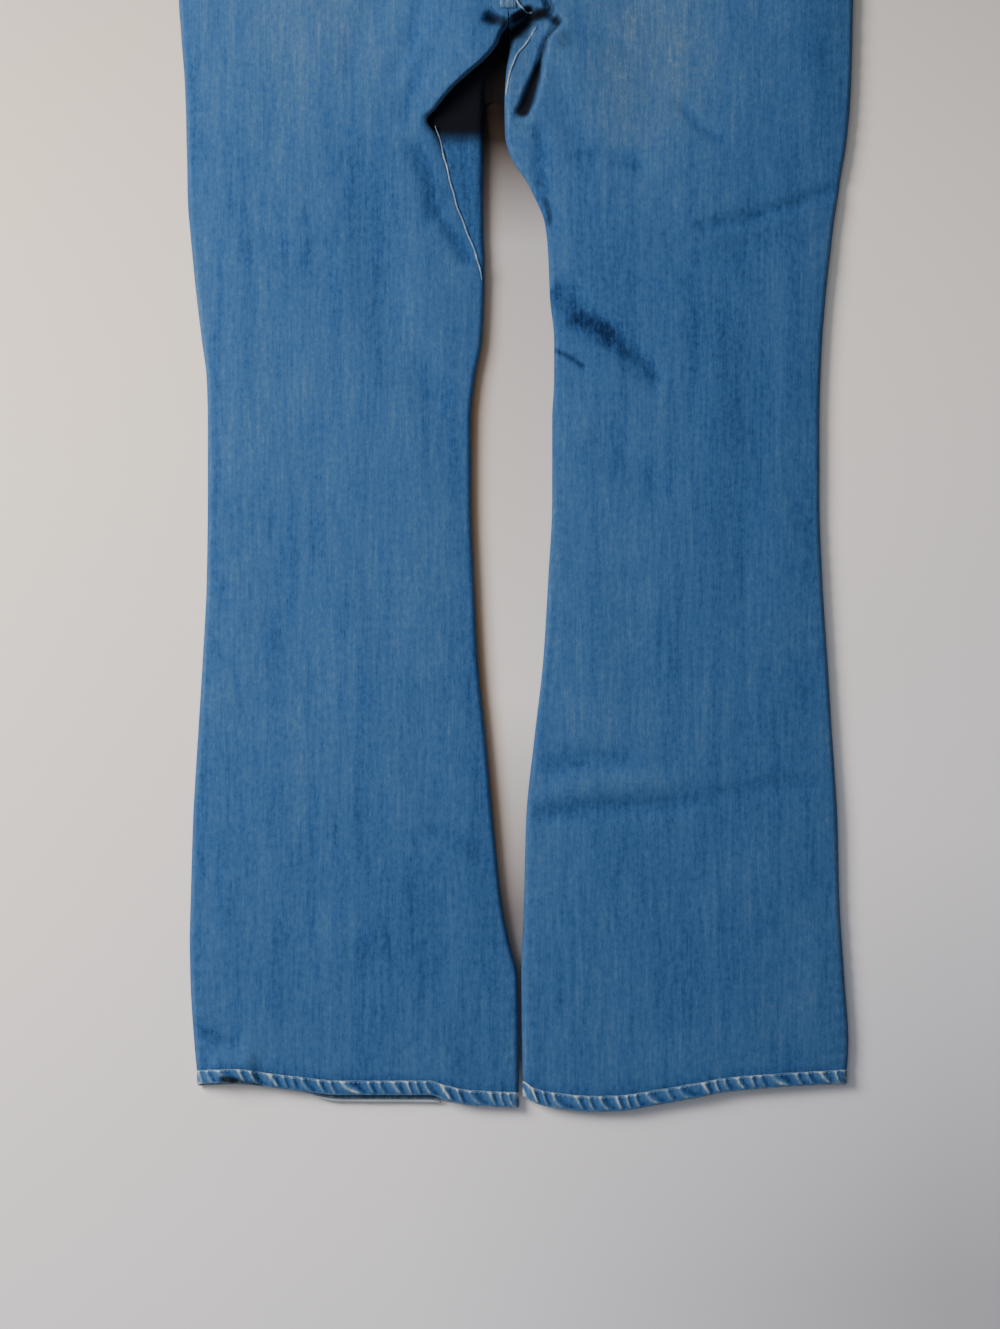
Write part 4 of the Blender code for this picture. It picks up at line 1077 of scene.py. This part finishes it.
def painted_shadow_seat_fold():
    """The sagging cloth: it hangs from the inner edges of both backs and touches the board.

    Across it sags as half a sine, and its lower edge bows up by 4 mm.
    """
    tall = np.linspace(SEAT_FOOT, SEAT_TOP, 40).reshape(-1, 1)
    right = at(RIGHT_LEG, "fold", tall) - 1.5
    left = at(LEFT_LEG, "fold", tall) + 1.0
    part = np.linspace(0, 1, 15)
    x = right + (left - right) * part
    sag = np.sin(math.pi * part)
    y = tall + 4 * sag * (1 - smooth_step((tall - SEAT_FOOT) / 30))
    z = 2.6 - 1.6 * sag + 2.2 * smooth_step((tall - SEAT_FOOT - 8) / 40)
    # Painted shadow: the sheet is taken almost wholly to its shade colour.
    deep = 0.985 + 0 * x
    made = shell("painted_shadow_seat_fold", x, y, z, painted_shadow_denim, {"wear_and_painted_light": -0.3 + 0 * x, "deep": deep}, 1.0)
    placed(made, "denim")


# The seat's denim has a brown-black shade colour for its painted shadow.
painted_shadow_denim = denim("painted_shadow_denim", shade=(0.004, 0.0022, 0.0016))
painted_shadow_seat_fold()


# The right back hem peeks out below the front one. Its folded lower edge is rubbed nearly white, and is
# made as a cord along the hem.
peek_x = np.arange(-152.0, -54.0, 2.0)
peek_y = along_leg(RIGHT_LEG, peek_x, 0.0, "back", CENTRE_BACK_TOP) - 0.9
peek_path = np.stack([peek_x, peek_y, 3.9 + 0.2 * np.sin(peek_x / 6)], axis=1)
hem_peek = placed(cord("right_hem_edge", peek_path, 1.3, denim("bare_edge", 0.75)), "worn_seam")


# All seams are sewn with cotton thread, washed to nearly the denim's own tone: short stitches about
# 3.4 mm apart that sink into the cloth at both ends. The first rows hold the hems and the pockets' mouths.
thread_finish = Finish("thread", roughness=0.7, sheen=0.1)
thread_tone = thread_finish.noise((900.0, 900.0, 900.0), 2.0)
thread_finish.coloured(thread_finish.mix(thread_tone + 0.5, (0.09, 0.15, 0.24), (0.19, 0.27, 0.37)))


def stitches(name, paths, proud=0.22, pitch=3.4, length=2.4, radius=0.26):
    """Rows of stitches as one mesh: each is a six-sided spindle along its path."""
    rings = ((0.0, 0.25, -0.5), (0.25, 1.0, 0.7), (0.75, 1.0, 0.7), (1.0, 0.25, -0.5))
    turn = np.linspace(0, 2 * math.pi, 6, endpoint=False)
    points = []
    faces = []
    for path in paths:
        run = np.concatenate([[0], np.cumsum(np.linalg.norm(np.diff(path, axis=0), axis=1))])
        starts = np.arange(0.5, run[-1] - length, pitch)
        place = starts[:, None] + length * np.array([ring[0] for ring in rings])
        centre = np.stack([np.interp(place, run, path[:, axis]) for axis in range(3)], axis=2)
        along = centre[:, -1] - centre[:, 0]
        along = along / np.linalg.norm(along, axis=1, keepdims=True)
        side = np.cross(along, (0, 0, 1))
        side = side / np.linalg.norm(side, axis=1, keepdims=True)
        up = np.cross(side, along)
        for j in range(len(starts)):
            first = len(points)
            for k, (_, wide, high) in enumerate(rings):
                middle = centre[j, k] + up[j] * high * proud
                for angle in turn:
                    outward = side[j] * math.cos(angle) + up[j] * math.sin(angle)
                    points.append(middle + radius * wide * outward)
            for k in range(3):
                for s in range(6):
                    here = first + 6 * k + s
                    after = first + 6 * k + (s + 1) % 6
                    faces.append((here, after, after + 6, here + 6))
            faces.append(tuple(first + s for s in range(5, -1, -1)))
            faces.append(tuple(first + 18 + s for s in range(6)))
    mesh = bpy.data.meshes.new(name)
    mesh.from_pydata(((np.array(points) - (0, MID_LENGTH, 0)) / 1000).tolist(), [], faces)
    mesh.shade_smooth()
    mesh.materials.append(thread_finish.material)
    made = bpy.data.objects.new(name, mesh)
    bpy.context.scene.collection.objects.link(made)
    return placed(made, "worn_seam")


def front_row(leg, x, height, lifted=0.0):
    """A path of stitches on a front, a little proud of it."""
    rise = raised_fly(x, height) if leg is LEFT_LEG else 0
    z = front_surface(leg, x, height) + rise + lifted
    return np.stack([x, along_leg(leg, x, height, "front", CENTRE_FRONT_TOP), z], axis=1)


def hem_row(leg):
    """The hem's stitches, just under its upper edge."""
    grid = right_front_grid if leg is RIGHT_LEG else left_front_grid
    low, high = grid[0][0].min() + 6, grid[0][0].max() - 6
    x = np.arange(low, high, 2.0)
    bottom = along_leg(leg, x, 0.0, "front", CENTRE_FRONT_TOP)
    y = bottom + 0.84 * (along_leg(leg, x, HEM_DEPTH, "front", CENTRE_FRONT_TOP) - bottom)
    z = on_front(leg, x, np.full_like(x, HEM_DEPTH + SEAM_GAP)) + 0.45
    return np.stack([x, y, z], axis=1)


hem_stitches_right = stitches("right_hem_stitches", [hem_row(RIGHT_LEG)], proud=0.12)
hem_stitches_left = stitches("left_hem_stitches", [hem_row(LEFT_LEG)], proud=0.12)


def pocket_rows(leg):
    """Two rows of stitches along a front pocket's mouth."""
    inward = 1 if leg is RIGHT_LEG else -1
    height = np.linspace(938, 1004, 60)
    height = np.concatenate([np.linspace(934, 937.5, 12), height])
    return [front_row(leg, pocket_edge(leg, height) + inward * off, height, 0.05) for off in (3.0, 9.0)]


pocket_stitches_right = stitches("right_pocket_stitches", pocket_rows(RIGHT_LEG))
pocket_stitches_left = stitches("left_pocket_stitches", pocket_rows(LEFT_LEG))


# The fly: its edge laps over the right front, and two curved rows of stitches hold the facing under it.
# Behind it are the zip's tape, its metal teeth and a closed slider near the waist.
FACING_FOOT = 861.0
TOOTH_PITCH = 1.5
SLIDER_HEIGHT = 984.0


def fly_rows():
    """Both curved rows, and the rows beside the edge."""
    rows = []
    for off in (38.0, 32.0):
        foot = FLY_FOOT + 16 + (38 - off)
        turn = np.linspace(0, math.pi / 2, 24)
        height = np.concatenate([foot + 30 * (1 - np.cos(turn)), np.linspace(foot + 32, SIDE_TOP - 3, 60)])
        across = np.concatenate([off * np.sin(turn), np.full(60, off)])
        rows.append(front_row(LEFT_LEG, centre_seam(height) + across, height, 0.05))
    height = np.linspace(FLY_FOOT + 22, SIDE_TOP - 3, 70)
    rows.append(front_row(LEFT_LEG, centre_seam(height) - FLY_OVERLAP + 2.5, height, 0.05))
    return rows


fly_stitches = stitches("fly_stitches", fly_rows())
twill = denim("twill_facing", 0.14)


def fly_facing():
    """The facing one layer under the left front, from its edge to the curved stitches."""
    height = np.linspace(FACING_FOOT, 1000, 60).reshape(-1, 1)
    off = np.linspace(1, 44, 20)
    x = centre_seam(height) + off
    z = front_surface(LEFT_LEG, x, height) + raised_fly(x, height) - LAYER - 0.25
    y = along_leg(LEFT_LEG, x, height, "front", CENTRE_FRONT_TOP)
    made = shell("fly_lining", x, y, z, twill, {"wear_and_painted_light": 0 * x, "deep": 0 * x}, 0.9)
    placed(made, "facing", "fly_facing")


fly_facing()


def zip_parts():
    """The tape, with a row of teeth on each side of its middle, and the slider."""
    height = np.linspace(FACING_FOOT, 998, 60).reshape(-1, 1)
    off = np.linspace(-12, 14, 14)
    x = centre_seam(height) + off
    low = front_surface(RIGHT_LEG, centre_seam(height) - 12, height) - LAYER - 0.45
    z = low + 0 * x - 0.15 * smooth_step((off + 2) / 4)
    y = along_leg(RIGHT_LEG, x, height, "front", CENTRE_FRONT_TOP)
    tape = shell("zip_tape", x, y, z, twill, {"wear_and_painted_light": -0.2 + 0 * x, "deep": 0 * x}, 0.6)
    placed(tape, "facing", "zip")
    teeth = bmesh.new()
    for k, tall in enumerate(np.arange(FACING_FOOT + 4, 994.0, TOOTH_PITCH)):
        off = 1.0 + (1.3 if k % 2 else -1.3)
        here = float(centre_seam(tall)) + off
        level = float(front_surface(RIGHT_LEG, float(centre_seam(tall)) - 12, tall)) - LAYER - 1.0
        at_y = float(along_leg(RIGHT_LEG, here, tall, "front", CENTRE_FRONT_TOP))
        made = bmesh.ops.create_cube(teeth, size=1)
        bmesh.ops.scale(teeth, verts=made["verts"], vec=(0.0042, 0.0011, 0.0012))
        spot = (here / 1000, (at_y - MID_LENGTH) / 1000, (level - 0.5) / 1000)
        bmesh.ops.translate(teeth, verts=made["verts"], vec=spot)
    crown = float(centre_seam(SLIDER_HEIGHT)) + 1.0
    crown_z = float(front_surface(RIGHT_LEG, crown - 13, SLIDER_HEIGHT)) - LAYER - 2.8
    crown_y = float(along_leg(RIGHT_LEG, crown, SLIDER_HEIGHT, "front", CENTRE_FRONT_TOP)) - MID_LENGTH
    # The slider's body, and below it the pull that hangs behind the cloth.
    for size, down, back in (((7.5, 9, 2.0), 0, 0), ((4, 16, 0.9), 9, 1.6)):
        made = bmesh.ops.create_cube(teeth, size=1)
        bmesh.ops.scale(teeth, verts=made["verts"], vec=tuple(part / 1000 for part in size))
        spot = (crown / 1000, (crown_y - down) / 1000, (crown_z - back) / 1000)
        bmesh.ops.translate(teeth, verts=made["verts"], vec=spot)
    mesh = bpy.data.meshes.new("zip_teeth")
    teeth.to_mesh(mesh)
    teeth.free()
    mesh.materials.append(brass.material)
    made = bpy.data.objects.new("zip_teeth", mesh)
    bpy.context.scene.collection.objects.link(made)
    soft = made.modifiers.new("soft_edges", "BEVEL")
    soft.width = 0.0003
    soft.segments = 2
    placed(made, "metal")


brass = Finish("antique_brass", roughness=0.38, metallic=1.0)
brass_tone = brass.noise((400.0, 400.0, 400.0), 5.0, 0.7)
brass.coloured(brass.mix(brass_tone + 0.5, (0.34, 0.25, 0.14), (0.66, 0.52, 0.32)))
brass.raised(brass_tone, 0.0001)
zip_parts()


# The two rise seams are felled: each edge is folded into the other, and two rows of stitches hold them
# flat. So each is a raised strip of the same denim, rubbed paler.
RISE_WIDTH = 12.0
rise_denim = denim("rise_denim", 0.22)


def front_rise():
    """The strip between the fronts, from the crotch to the foot of the fly. A ridge runs down its middle."""
    height = np.linspace(824, FLY_FOOT + 1, 26).reshape(-1, 1)
    off = np.linspace(-RISE_WIDTH / 2, RISE_WIDTH / 2, 17)
    x = centre_seam(height) + off
    low = np.where(off < 0, front_surface(RIGHT_LEG, x, height), front_surface(LEFT_LEG, x, height))
    round_edge = 0.55 * (1 - np.clip(np.abs(off) / 6, 0, 1) ** 4)
    z = low + 0.75 + round_edge + 0.3 * np.exp(-((off / 1.2) ** 2)) + 0.1 * np.sin(height / 1.1)
    y = along_leg(RIGHT_LEG, x, height, "front", CENTRE_FRONT_TOP)
    wear_and_painted_light = 0.22 * np.exp(-(((np.abs(off) - 5.2) / 0.8) ** 2)) + 0.12 * np.exp(-((off / 1.2) ** 2)) + 0 * x
    # Painted shade at the foot of the strip, under the arch.
    deep = 0.9 * (1 - smooth_step((height - 822) / 5)) + 0 * x
    made = shell("front_rise", x, y, z, rise_denim, {"wear_and_painted_light": wear_and_painted_light, "deep": deep}, 0.9)
    placed(made, "worn_seam", "front_rise_seam")
    rows = []
    for off in (-3.6, 3.6):
        leg = RIGHT_LEG if off < 0 else LEFT_LEG
        rows.append(front_row(leg, centre_seam(height[:, 0]) + off, height[:, 0], 1.35))
    sewn = stitches("front_rise_stitches", rows)


def back_rise():
    """The strip down the centre back, under the seat."""
    height = np.linspace(830, SIDE_TOP + 1, 80).reshape(-1, 1)
    off = np.linspace(RISE_WIDTH / 2, -RISE_WIDTH / 2, 13)
    x = centre_seam(height) + off
    z = SEAT_LIFT - SEAM_GAP - 0.85 - 0.1 * np.exp(-((off / 1.2) ** 2)) + 0 * x
    wear_and_painted_light = 0.2 * np.exp(-(((np.abs(off) - 5.2) / 0.8) ** 2)) + 0 * x
    made = shell("back_rise", x, height + 0 * x, z, rise_denim, {"wear_and_painted_light": wear_and_painted_light, "deep": 0 * x}, 0.85)
    placed(made, "worn_seam", "back_rise_seam")
    tall = height[:, 0]
    rows = [np.stack([centre_seam(tall) + o, tall, np.full_like(tall, 0.42)], axis=1) for o in (-3.6, 3.6)]
    sewn = stitches("back_rise_stitches", rows, proud=-0.1)
    height + 0 * x


front_rise()
back_rise()

# The rubbed edge of the seam curls from the strip's foot round the arch over the gap, on the left front.
RISE_CURL = table(
    "x height",
    (-0.5, 836),
    (0.5, 830),
    (2.5, 826.5),
    (5.5, 823.8),
    (9.5, 822.2),
    (12, 821.8),
)
along_curl = np.linspace(0, len(RISE_CURL) - 1, 24)
curl_x, curl_y = (np.interp(along_curl, range(len(RISE_CURL)), RISE_CURL[key]) for key in ("x", "height"))
rise_path = np.stack([curl_x, curl_y, on_front(LEFT_LEG, curl_x, curl_y) + 1.0], axis=1)
rise_edge = placed(cord("rise_edge", rise_path, 0.8, edge_finish), "worn_seam")


# The yokes are two shallow wedges of denim that shape the seat above the back panels. Two rows of
# stitches run along their lower seam.
def yoke(name, leg, node):
    """A yoke, from the seam under it to the waistband."""
    part = np.linspace(0, 1, 24).reshape(-1, 1)
    height = BACK_TOP + (SIDE_TOP - SEAM_GAP - BACK_TOP) * part
    x, z = back_section(leg, height[:, 0], 40, 7, 3)
    start = yoke_line(x) + SEAM_GAP
    top = band_line(x, "back") - 2 * SEAM_GAP
    y = start + (top - start) * part
    z = z - 0.12 * np.exp(-(((part - 0.03) / 0.04) ** 2)) * (z < SEAT_LIFT + 0.01)
    wear_and_painted_light = 0.14 * np.exp(-((part / 0.05) ** 2)) + 0 * x
    row_x = np.linspace(x[0].min() + 8, x[0].max() - (8 if leg is LEFT_LEG else 7), 60)
    row_z = np.full(60, SEAT_LIFT - 0.02)
    rows = [np.stack([row_x, yoke_line(row_x) + off, row_z], axis=1) for off in (2.5, 8.0)]
    sewn = stitches(name + "_stitches", rows, proud=-0.2)
    grids = (x, y, z, wear_and_painted_light)
    if leg is RIGHT_LEG:
        grids = tuple(grid[:, ::-1] for grid in grids)
    x, y, z, wear_and_painted_light = grids
    made = placed(shell(name, x, y, z, leg_denim, {"wear_and_painted_light": wear_and_painted_light, "deep": 0 * x}), "denim", node)


def band_line(x, side):
    """Height of the waistband's lower edge."""
    half = abs(at(RIGHT_LEG, "outer", SIDE_TOP))
    across = np.cos(0.5 * math.pi * np.clip(np.abs(x) / half, 0, 1)) ** 2
    centre_top = CENTRE_FRONT_TOP if side == "front" else CENTRE_BACK_TOP
    return SIDE_TOP + (centre_top - SIDE_TOP) * across


yoke("seat_yoke_right", RIGHT_LEG, "right_yoke")
yoke("seat_yoke_left", LEFT_LEG, "left_yoke")


# The waistband is one folded strip of denim round the waist, sewn over the panels' upper edges. Its left
# end laps over the right one and buttons.
BAND_CLOTH = 2.2
BAND_DEPTH = 38.0
BAND_LAP = 17.0
BAND_TAPER = 0.055
BAND_PROUD = 0.5


def band_surface(x):
    """Z of the waistband's outer side on the front."""
    right = front_surface(RIGHT_LEG, x, SIDE_TOP)
    return np.where(x < 0, right, front_surface(LEFT_LEG, x, SIDE_TOP)) + BAND_PROUD


def waistband():
    """The strip's section goes over the front, round each side, and along the back."""
    flat = abs(at(RIGHT_LEG, "outer", SIDE_TOP)) - EDGE_RADIUS
    over = np.linspace(-BAND_LAP, flat, 90)
    lifted = (BAND_CLOTH + SEAM_GAP) * smooth_step((BAND_LAP + 12 - over) / 10)
    turn = np.radians(np.linspace(10, 90, 9))
    top = band_surface(flat)
    down_x = flat + EDGE_RADIUS * np.sin(turn)
    down_z = EDGE_RADIUS + (top - EDGE_RADIUS) * np.cos(turn)
    under_x = flat + EDGE_RADIUS * np.cos(turn)
    under_z = EDGE_RADIUS + (SEAT_LIFT - EDGE_RADIUS) * np.sin(turn)
    behind = np.linspace(flat, -flat, 80)[1:-1]
    below = np.linspace(-flat, BAND_LAP, 90)
    x = np.concatenate([over, down_x, under_x, behind, -under_x[::-1], -down_x[::-1], below])
    z = np.concatenate([
        band_surface(over) + lifted,
        down_z,
        under_z,
        SEAT_LIFT + 0 * behind,
        under_z[::-1],
        down_z[::-1],
        band_surface(below),
    ])
    side = np.where(z > EDGE_RADIUS - 0.01, band_line(x, "front"), band_line(x, "back"))
    part = np.linspace(0, 1, 17).reshape(-1, 1)
    narrowed = x * (1 - BAND_TAPER * part)
    y = side + BAND_DEPTH * part
    edges = np.exp(-((part / 0.05) ** 2)) + np.exp(-(((1 - part) / 0.05) ** 2))
    on_top = smooth_step((z - EDGE_RADIUS) / 3)
    height = z + (0.25 * np.sin(x / 9) * np.sin(math.pi * part) - 0.5 * edges) * on_top
    wear_and_painted_light = 0.02 + 0.3 * edges + 0 * height
    numbers = {"wear_and_painted_light": wear_and_painted_light, "deep": 0 * height}
    made = shell("waist_strip", narrowed, y, height, leg_denim, numbers, BAND_CLOTH)
    placed(made, "denim", "waistband")
    rows = []
    front_x = np.linspace(-BAND_LAP + 2, flat - 3, 90)
    hidden_x = np.linspace(-flat + 3, -BAND_LAP - 3, 80)
    back_x = np.linspace(-flat + 3, flat - 3, 140)
    under = []
    lap_lift = (BAND_CLOTH + SEAM_GAP) * smooth_step((BAND_LAP + 12 - front_x) / 10)
    front_z = band_surface(front_x) + lap_lift - 0.1
    hidden_z = band_surface(hidden_x) - 0.1
    back_z = np.full_like(back_x, SEAT_LIFT - 0.02)
    for off in (2.2, BAND_DEPTH - 2.2):
        narrow = 1 - BAND_TAPER * off / BAND_DEPTH
        rows.append(np.stack([front_x * narrow, band_line(front_x, "front") + off, front_z], axis=1))
        rows.append(np.stack([hidden_x * narrow, band_line(hidden_x, "front") + off, hidden_z], axis=1))
        under.append(np.stack([back_x * narrow, band_line(back_x, "back") + off, back_z], axis=1))
    sewn = stitches("waist_stitches", rows)
    sewn_under = stitches("waist_back_stitches", under, proud=-0.2)


waistband()


# Five loops carry the belt: strips of denim folded to 10 mm, sewn along both edges, and held at each
# end by dense bars of stitches.
LOOP_WIDTH = 10.0
LOOP_CLOTH = 1.1


def belt_loop(name, middle, side, node):
    """A strip from below the waistband to its top, with two rows of stitches."""
    off = LOOP_WIDTH * np.linspace(-0.5, 0.5, 13)
    part = np.concatenate([[-9.0], np.linspace(-8.7, BAND_DEPTH - 3.3, 30), [BAND_DEPTH - 3]])
    part = part.reshape(-1, 1)
    y = band_line(middle + off, side) + part
    narrow = 1 - BAND_TAPER * np.clip(part / BAND_DEPTH, 0, 1)
    x = (middle + off) * narrow
    rolled = 0.25 * (1 - (2 * off / LOOP_WIDTH) ** 6)
    if side == "front":
        arch = np.interp(part, (-9, -3, 3, 19, 35), (0.0, 0.1, 0.6, 1.4, 0.8))
        z = band_surface(middle + off).max() + SEAM_GAP + LOOP_CLOTH + 0.1 + arch + rolled
        proud = 0.2
    else:
        z = SEAT_LIFT - SEAM_GAP - LOOP_CLOTH + 0.28 - rolled + 0 * y
        proud = -0.12
    wear_and_painted_light = 0.06 + 0.3 * np.exp(-(((np.abs(off) - 4.6) / 0.7) ** 2))
    wear_and_painted_light = wear_and_painted_light + 0.25 * np.exp(-(((part + 8) / 1.5) ** 2))
    rows = [np.stack([x[2:-2, k], y[2:-2, k], z[2:-2, k]], axis=1) for k in (3, 9)]
    for place in (2, 3, -4, -3):
        rows.append(np.stack([x[place, 2:-2], y[place, 2:-2], z[place, 2:-2]], axis=1))
    sewn = stitches(name + "_stitches", rows, proud)
    grids = (x, y, z, wear_and_painted_light)
    if side == "back":
        grids = tuple(grid[:, ::-1] for grid in grids)
    x, y, z, wear_and_painted_light = grids
    made = shell(name, x, y, z, leg_denim, {"wear_and_painted_light": wear_and_painted_light, "deep": 0 * x}, LOOP_CLOTH - 0.1)
    placed(made, "denim", node)


belt_loop("front_loop_right", -95, "front", "belt_loop_right")
belt_loop("front_loop_left", 95, "front", "belt_loop_left")
belt_loop("back_loop_right", -120, "back", "belt_loop_back_right")
belt_loop("back_loop", 0, "back", "belt_loop_back")
belt_loop("back_loop_left", 120, "back", "belt_loop_back_left")


# In the mouth of each front pocket shows its facing. It is the same denim, sewn in at the side seam and
# the waistband, and lies one layer lower than the front.
def pocket_facing(name, leg, node):
    """From the side seam, where it turns down like the front, to just past the pocket's edge."""
    inward = 1 if leg is RIGHT_LEG else -1
    tall = np.linspace(936.5, SIDE_TOP - SEAM_GAP, 40).reshape(-1, 1)
    outer = at(leg, "outer", tall)
    brow = outer + inward * EDGE_RADIUS
    inner = pocket_edge(leg, tall) + inward * 7
    under = LAYER + 0.3
    low = EDGE_RADIUS + SEAM_GAP
    turn = np.linspace(math.pi / 2, 0, 9)
    x_edge = brow + (outer - brow) * np.sin(turn)
    z_edge = low + (front_surface(leg, brow, tall) - under - low) * np.cos(turn)
    x_flat = brow + (inner - brow) * np.linspace(0, 1, 31)[1:]
    z_flat = front_surface(leg, x_flat, tall) - under
    x = np.concatenate([x_edge, x_flat], axis=1)
    z = np.concatenate([z_edge, z_flat], axis=1)
    y = along_leg(leg, x, tall, "front", CENTRE_FRONT_TOP) - 0.4 * smooth_step((tall - 1000) / 7)
    wear_and_painted_light = -0.05 + 0.1 * np.exp(-(((np.abs(x - outer) - 2.5) / 1.3) ** 2))
    grids = (x, y, z, wear_and_painted_light)
    if leg is LEFT_LEG:
        grids = tuple(grid[:, ::-1] for grid in grids)
    x, y, z, wear_and_painted_light = grids
    made = shell(name, x, y, z, leg_denim, {"wear_and_painted_light": wear_and_painted_light, "deep": 0 * x}, CLOTH - 0.1)
    placed(made, "denim", node)


pocket_facing("pocket_facing_right", RIGHT_LEG, "right_pocket_facing")
pocket_facing("pocket_facing_left", LEFT_LEG, "left_pocket_facing")


# Two plain patch pockets are sewn on the backs, on the side that faces the board. Each has a straight
# hemmed top and a pointed foot.
POCKET_TOP = 944.0
POCKET_SHOULDER = 826.0
POCKET_FOOT = 803.0


def back_pocket(name, middle, node):
    """The patch faces the board. Two rows of stitches follow its edge, and one holds its hem."""
    def half(height):
        return np.interp(height, (POCKET_FOOT, POCKET_SHOULDER, POCKET_TOP), (1.5, 66, 74))

    height = np.concatenate([
        np.linspace(POCKET_FOOT, POCKET_SHOULDER, 12),
        np.linspace(POCKET_SHOULDER, POCKET_TOP, 44)[1:],
    ]).reshape(-1, 1)
    across = np.linspace(1, -1, 49)
    x = middle + half(height) * across
    y = height + 0 * x
    from_edge = np.minimum((1 - np.abs(across)) * half(height), POCKET_TOP - height)
    pillow = 0.16 * np.exp(-((from_edge / 1.2) ** 2)) + 0.1 * np.exp(-(((from_edge - 5) / 1.5) ** 2))
    z = 0.02 + pillow
    wear_and_painted_light = 0.02 + 0.25 * np.exp(-((from_edge / 1.4) ** 2))
    wear_and_painted_light = wear_and_painted_light + 0.08 * np.exp(-(((POCKET_TOP - height - 10) / 2) ** 2))
    rows = []
    for inset in (2.0, 8.0):
        side = np.linspace(POCKET_SHOULDER + 0.3 * inset, POCKET_TOP - 1, 40)
        foot = np.array([POCKET_FOOT + 1.5 * inset, POCKET_SHOULDER + 0.3 * inset])
        for sign in (-1, 1):
            rows.append(np.stack([middle + sign * (half(side) - inset), side, 0 * side], axis=1))
            end = np.array([0.0, half(foot[1]) - inset])
            rows.append(np.stack([middle + sign * end, foot, 0 * foot], axis=1))
    hem_x = np.linspace(middle - 71, middle + 71, 40)
    rows.append(np.stack([hem_x, np.full(40, POCKET_TOP - 11.0), np.zeros(40)], axis=1))
    for row in rows:
        row[:, 2] = 0.28
    sewn = stitches(name + "_stitches", rows, proud=-0.12, radius=0.22)
    made = shell(name, x, y, z, leg_denim, {"wear_and_painted_light": wear_and_painted_light, "deep": 0 * x}, CLOTH - 0.05)
    placed(made, "denim", node)


back_pocket("seat_pocket_right", -100, "right_back_pocket")
back_pocket("seat_pocket_left", 96, "left_back_pocket")


# The waist button is antique brass, riveted through the lap: a plain dished cap with a rolled rim, on a
# short shank.
def waist_button():
    """Rings round the shank's axis, from the cap's middle to the shank's foot."""
    radius = np.array([0.3, 3.4, 5.6, 6.3, 7.0, 7.8, 8.4, 8.5, 8.3, 7.4, 6.0, 4.0, 4.0])
    height = np.array([3.5, 3.6, 3.8, 4.2, 4.4, 4.2, 3.5, 2.8, 2.1, 1.6, 1.2, 1.0, 0.0])
    turn = np.linspace(0, 2 * math.pi, 48, endpoint=False)
    band_top = float(band_surface(0.0)) + BAND_CLOTH + 2 * SEAM_GAP
    x = radius[:, None] * np.cos(turn)
    y = CENTRE_FRONT_TOP + BAND_DEPTH / 2 + radius[:, None] * np.sin(turn)
    z = band_top + height[:, None] + 0 * x
    made = tube("waist_button", np.stack([x, y, z], axis=2)[::-1], brass)
    placed(made, "metal", "button")


waist_button()
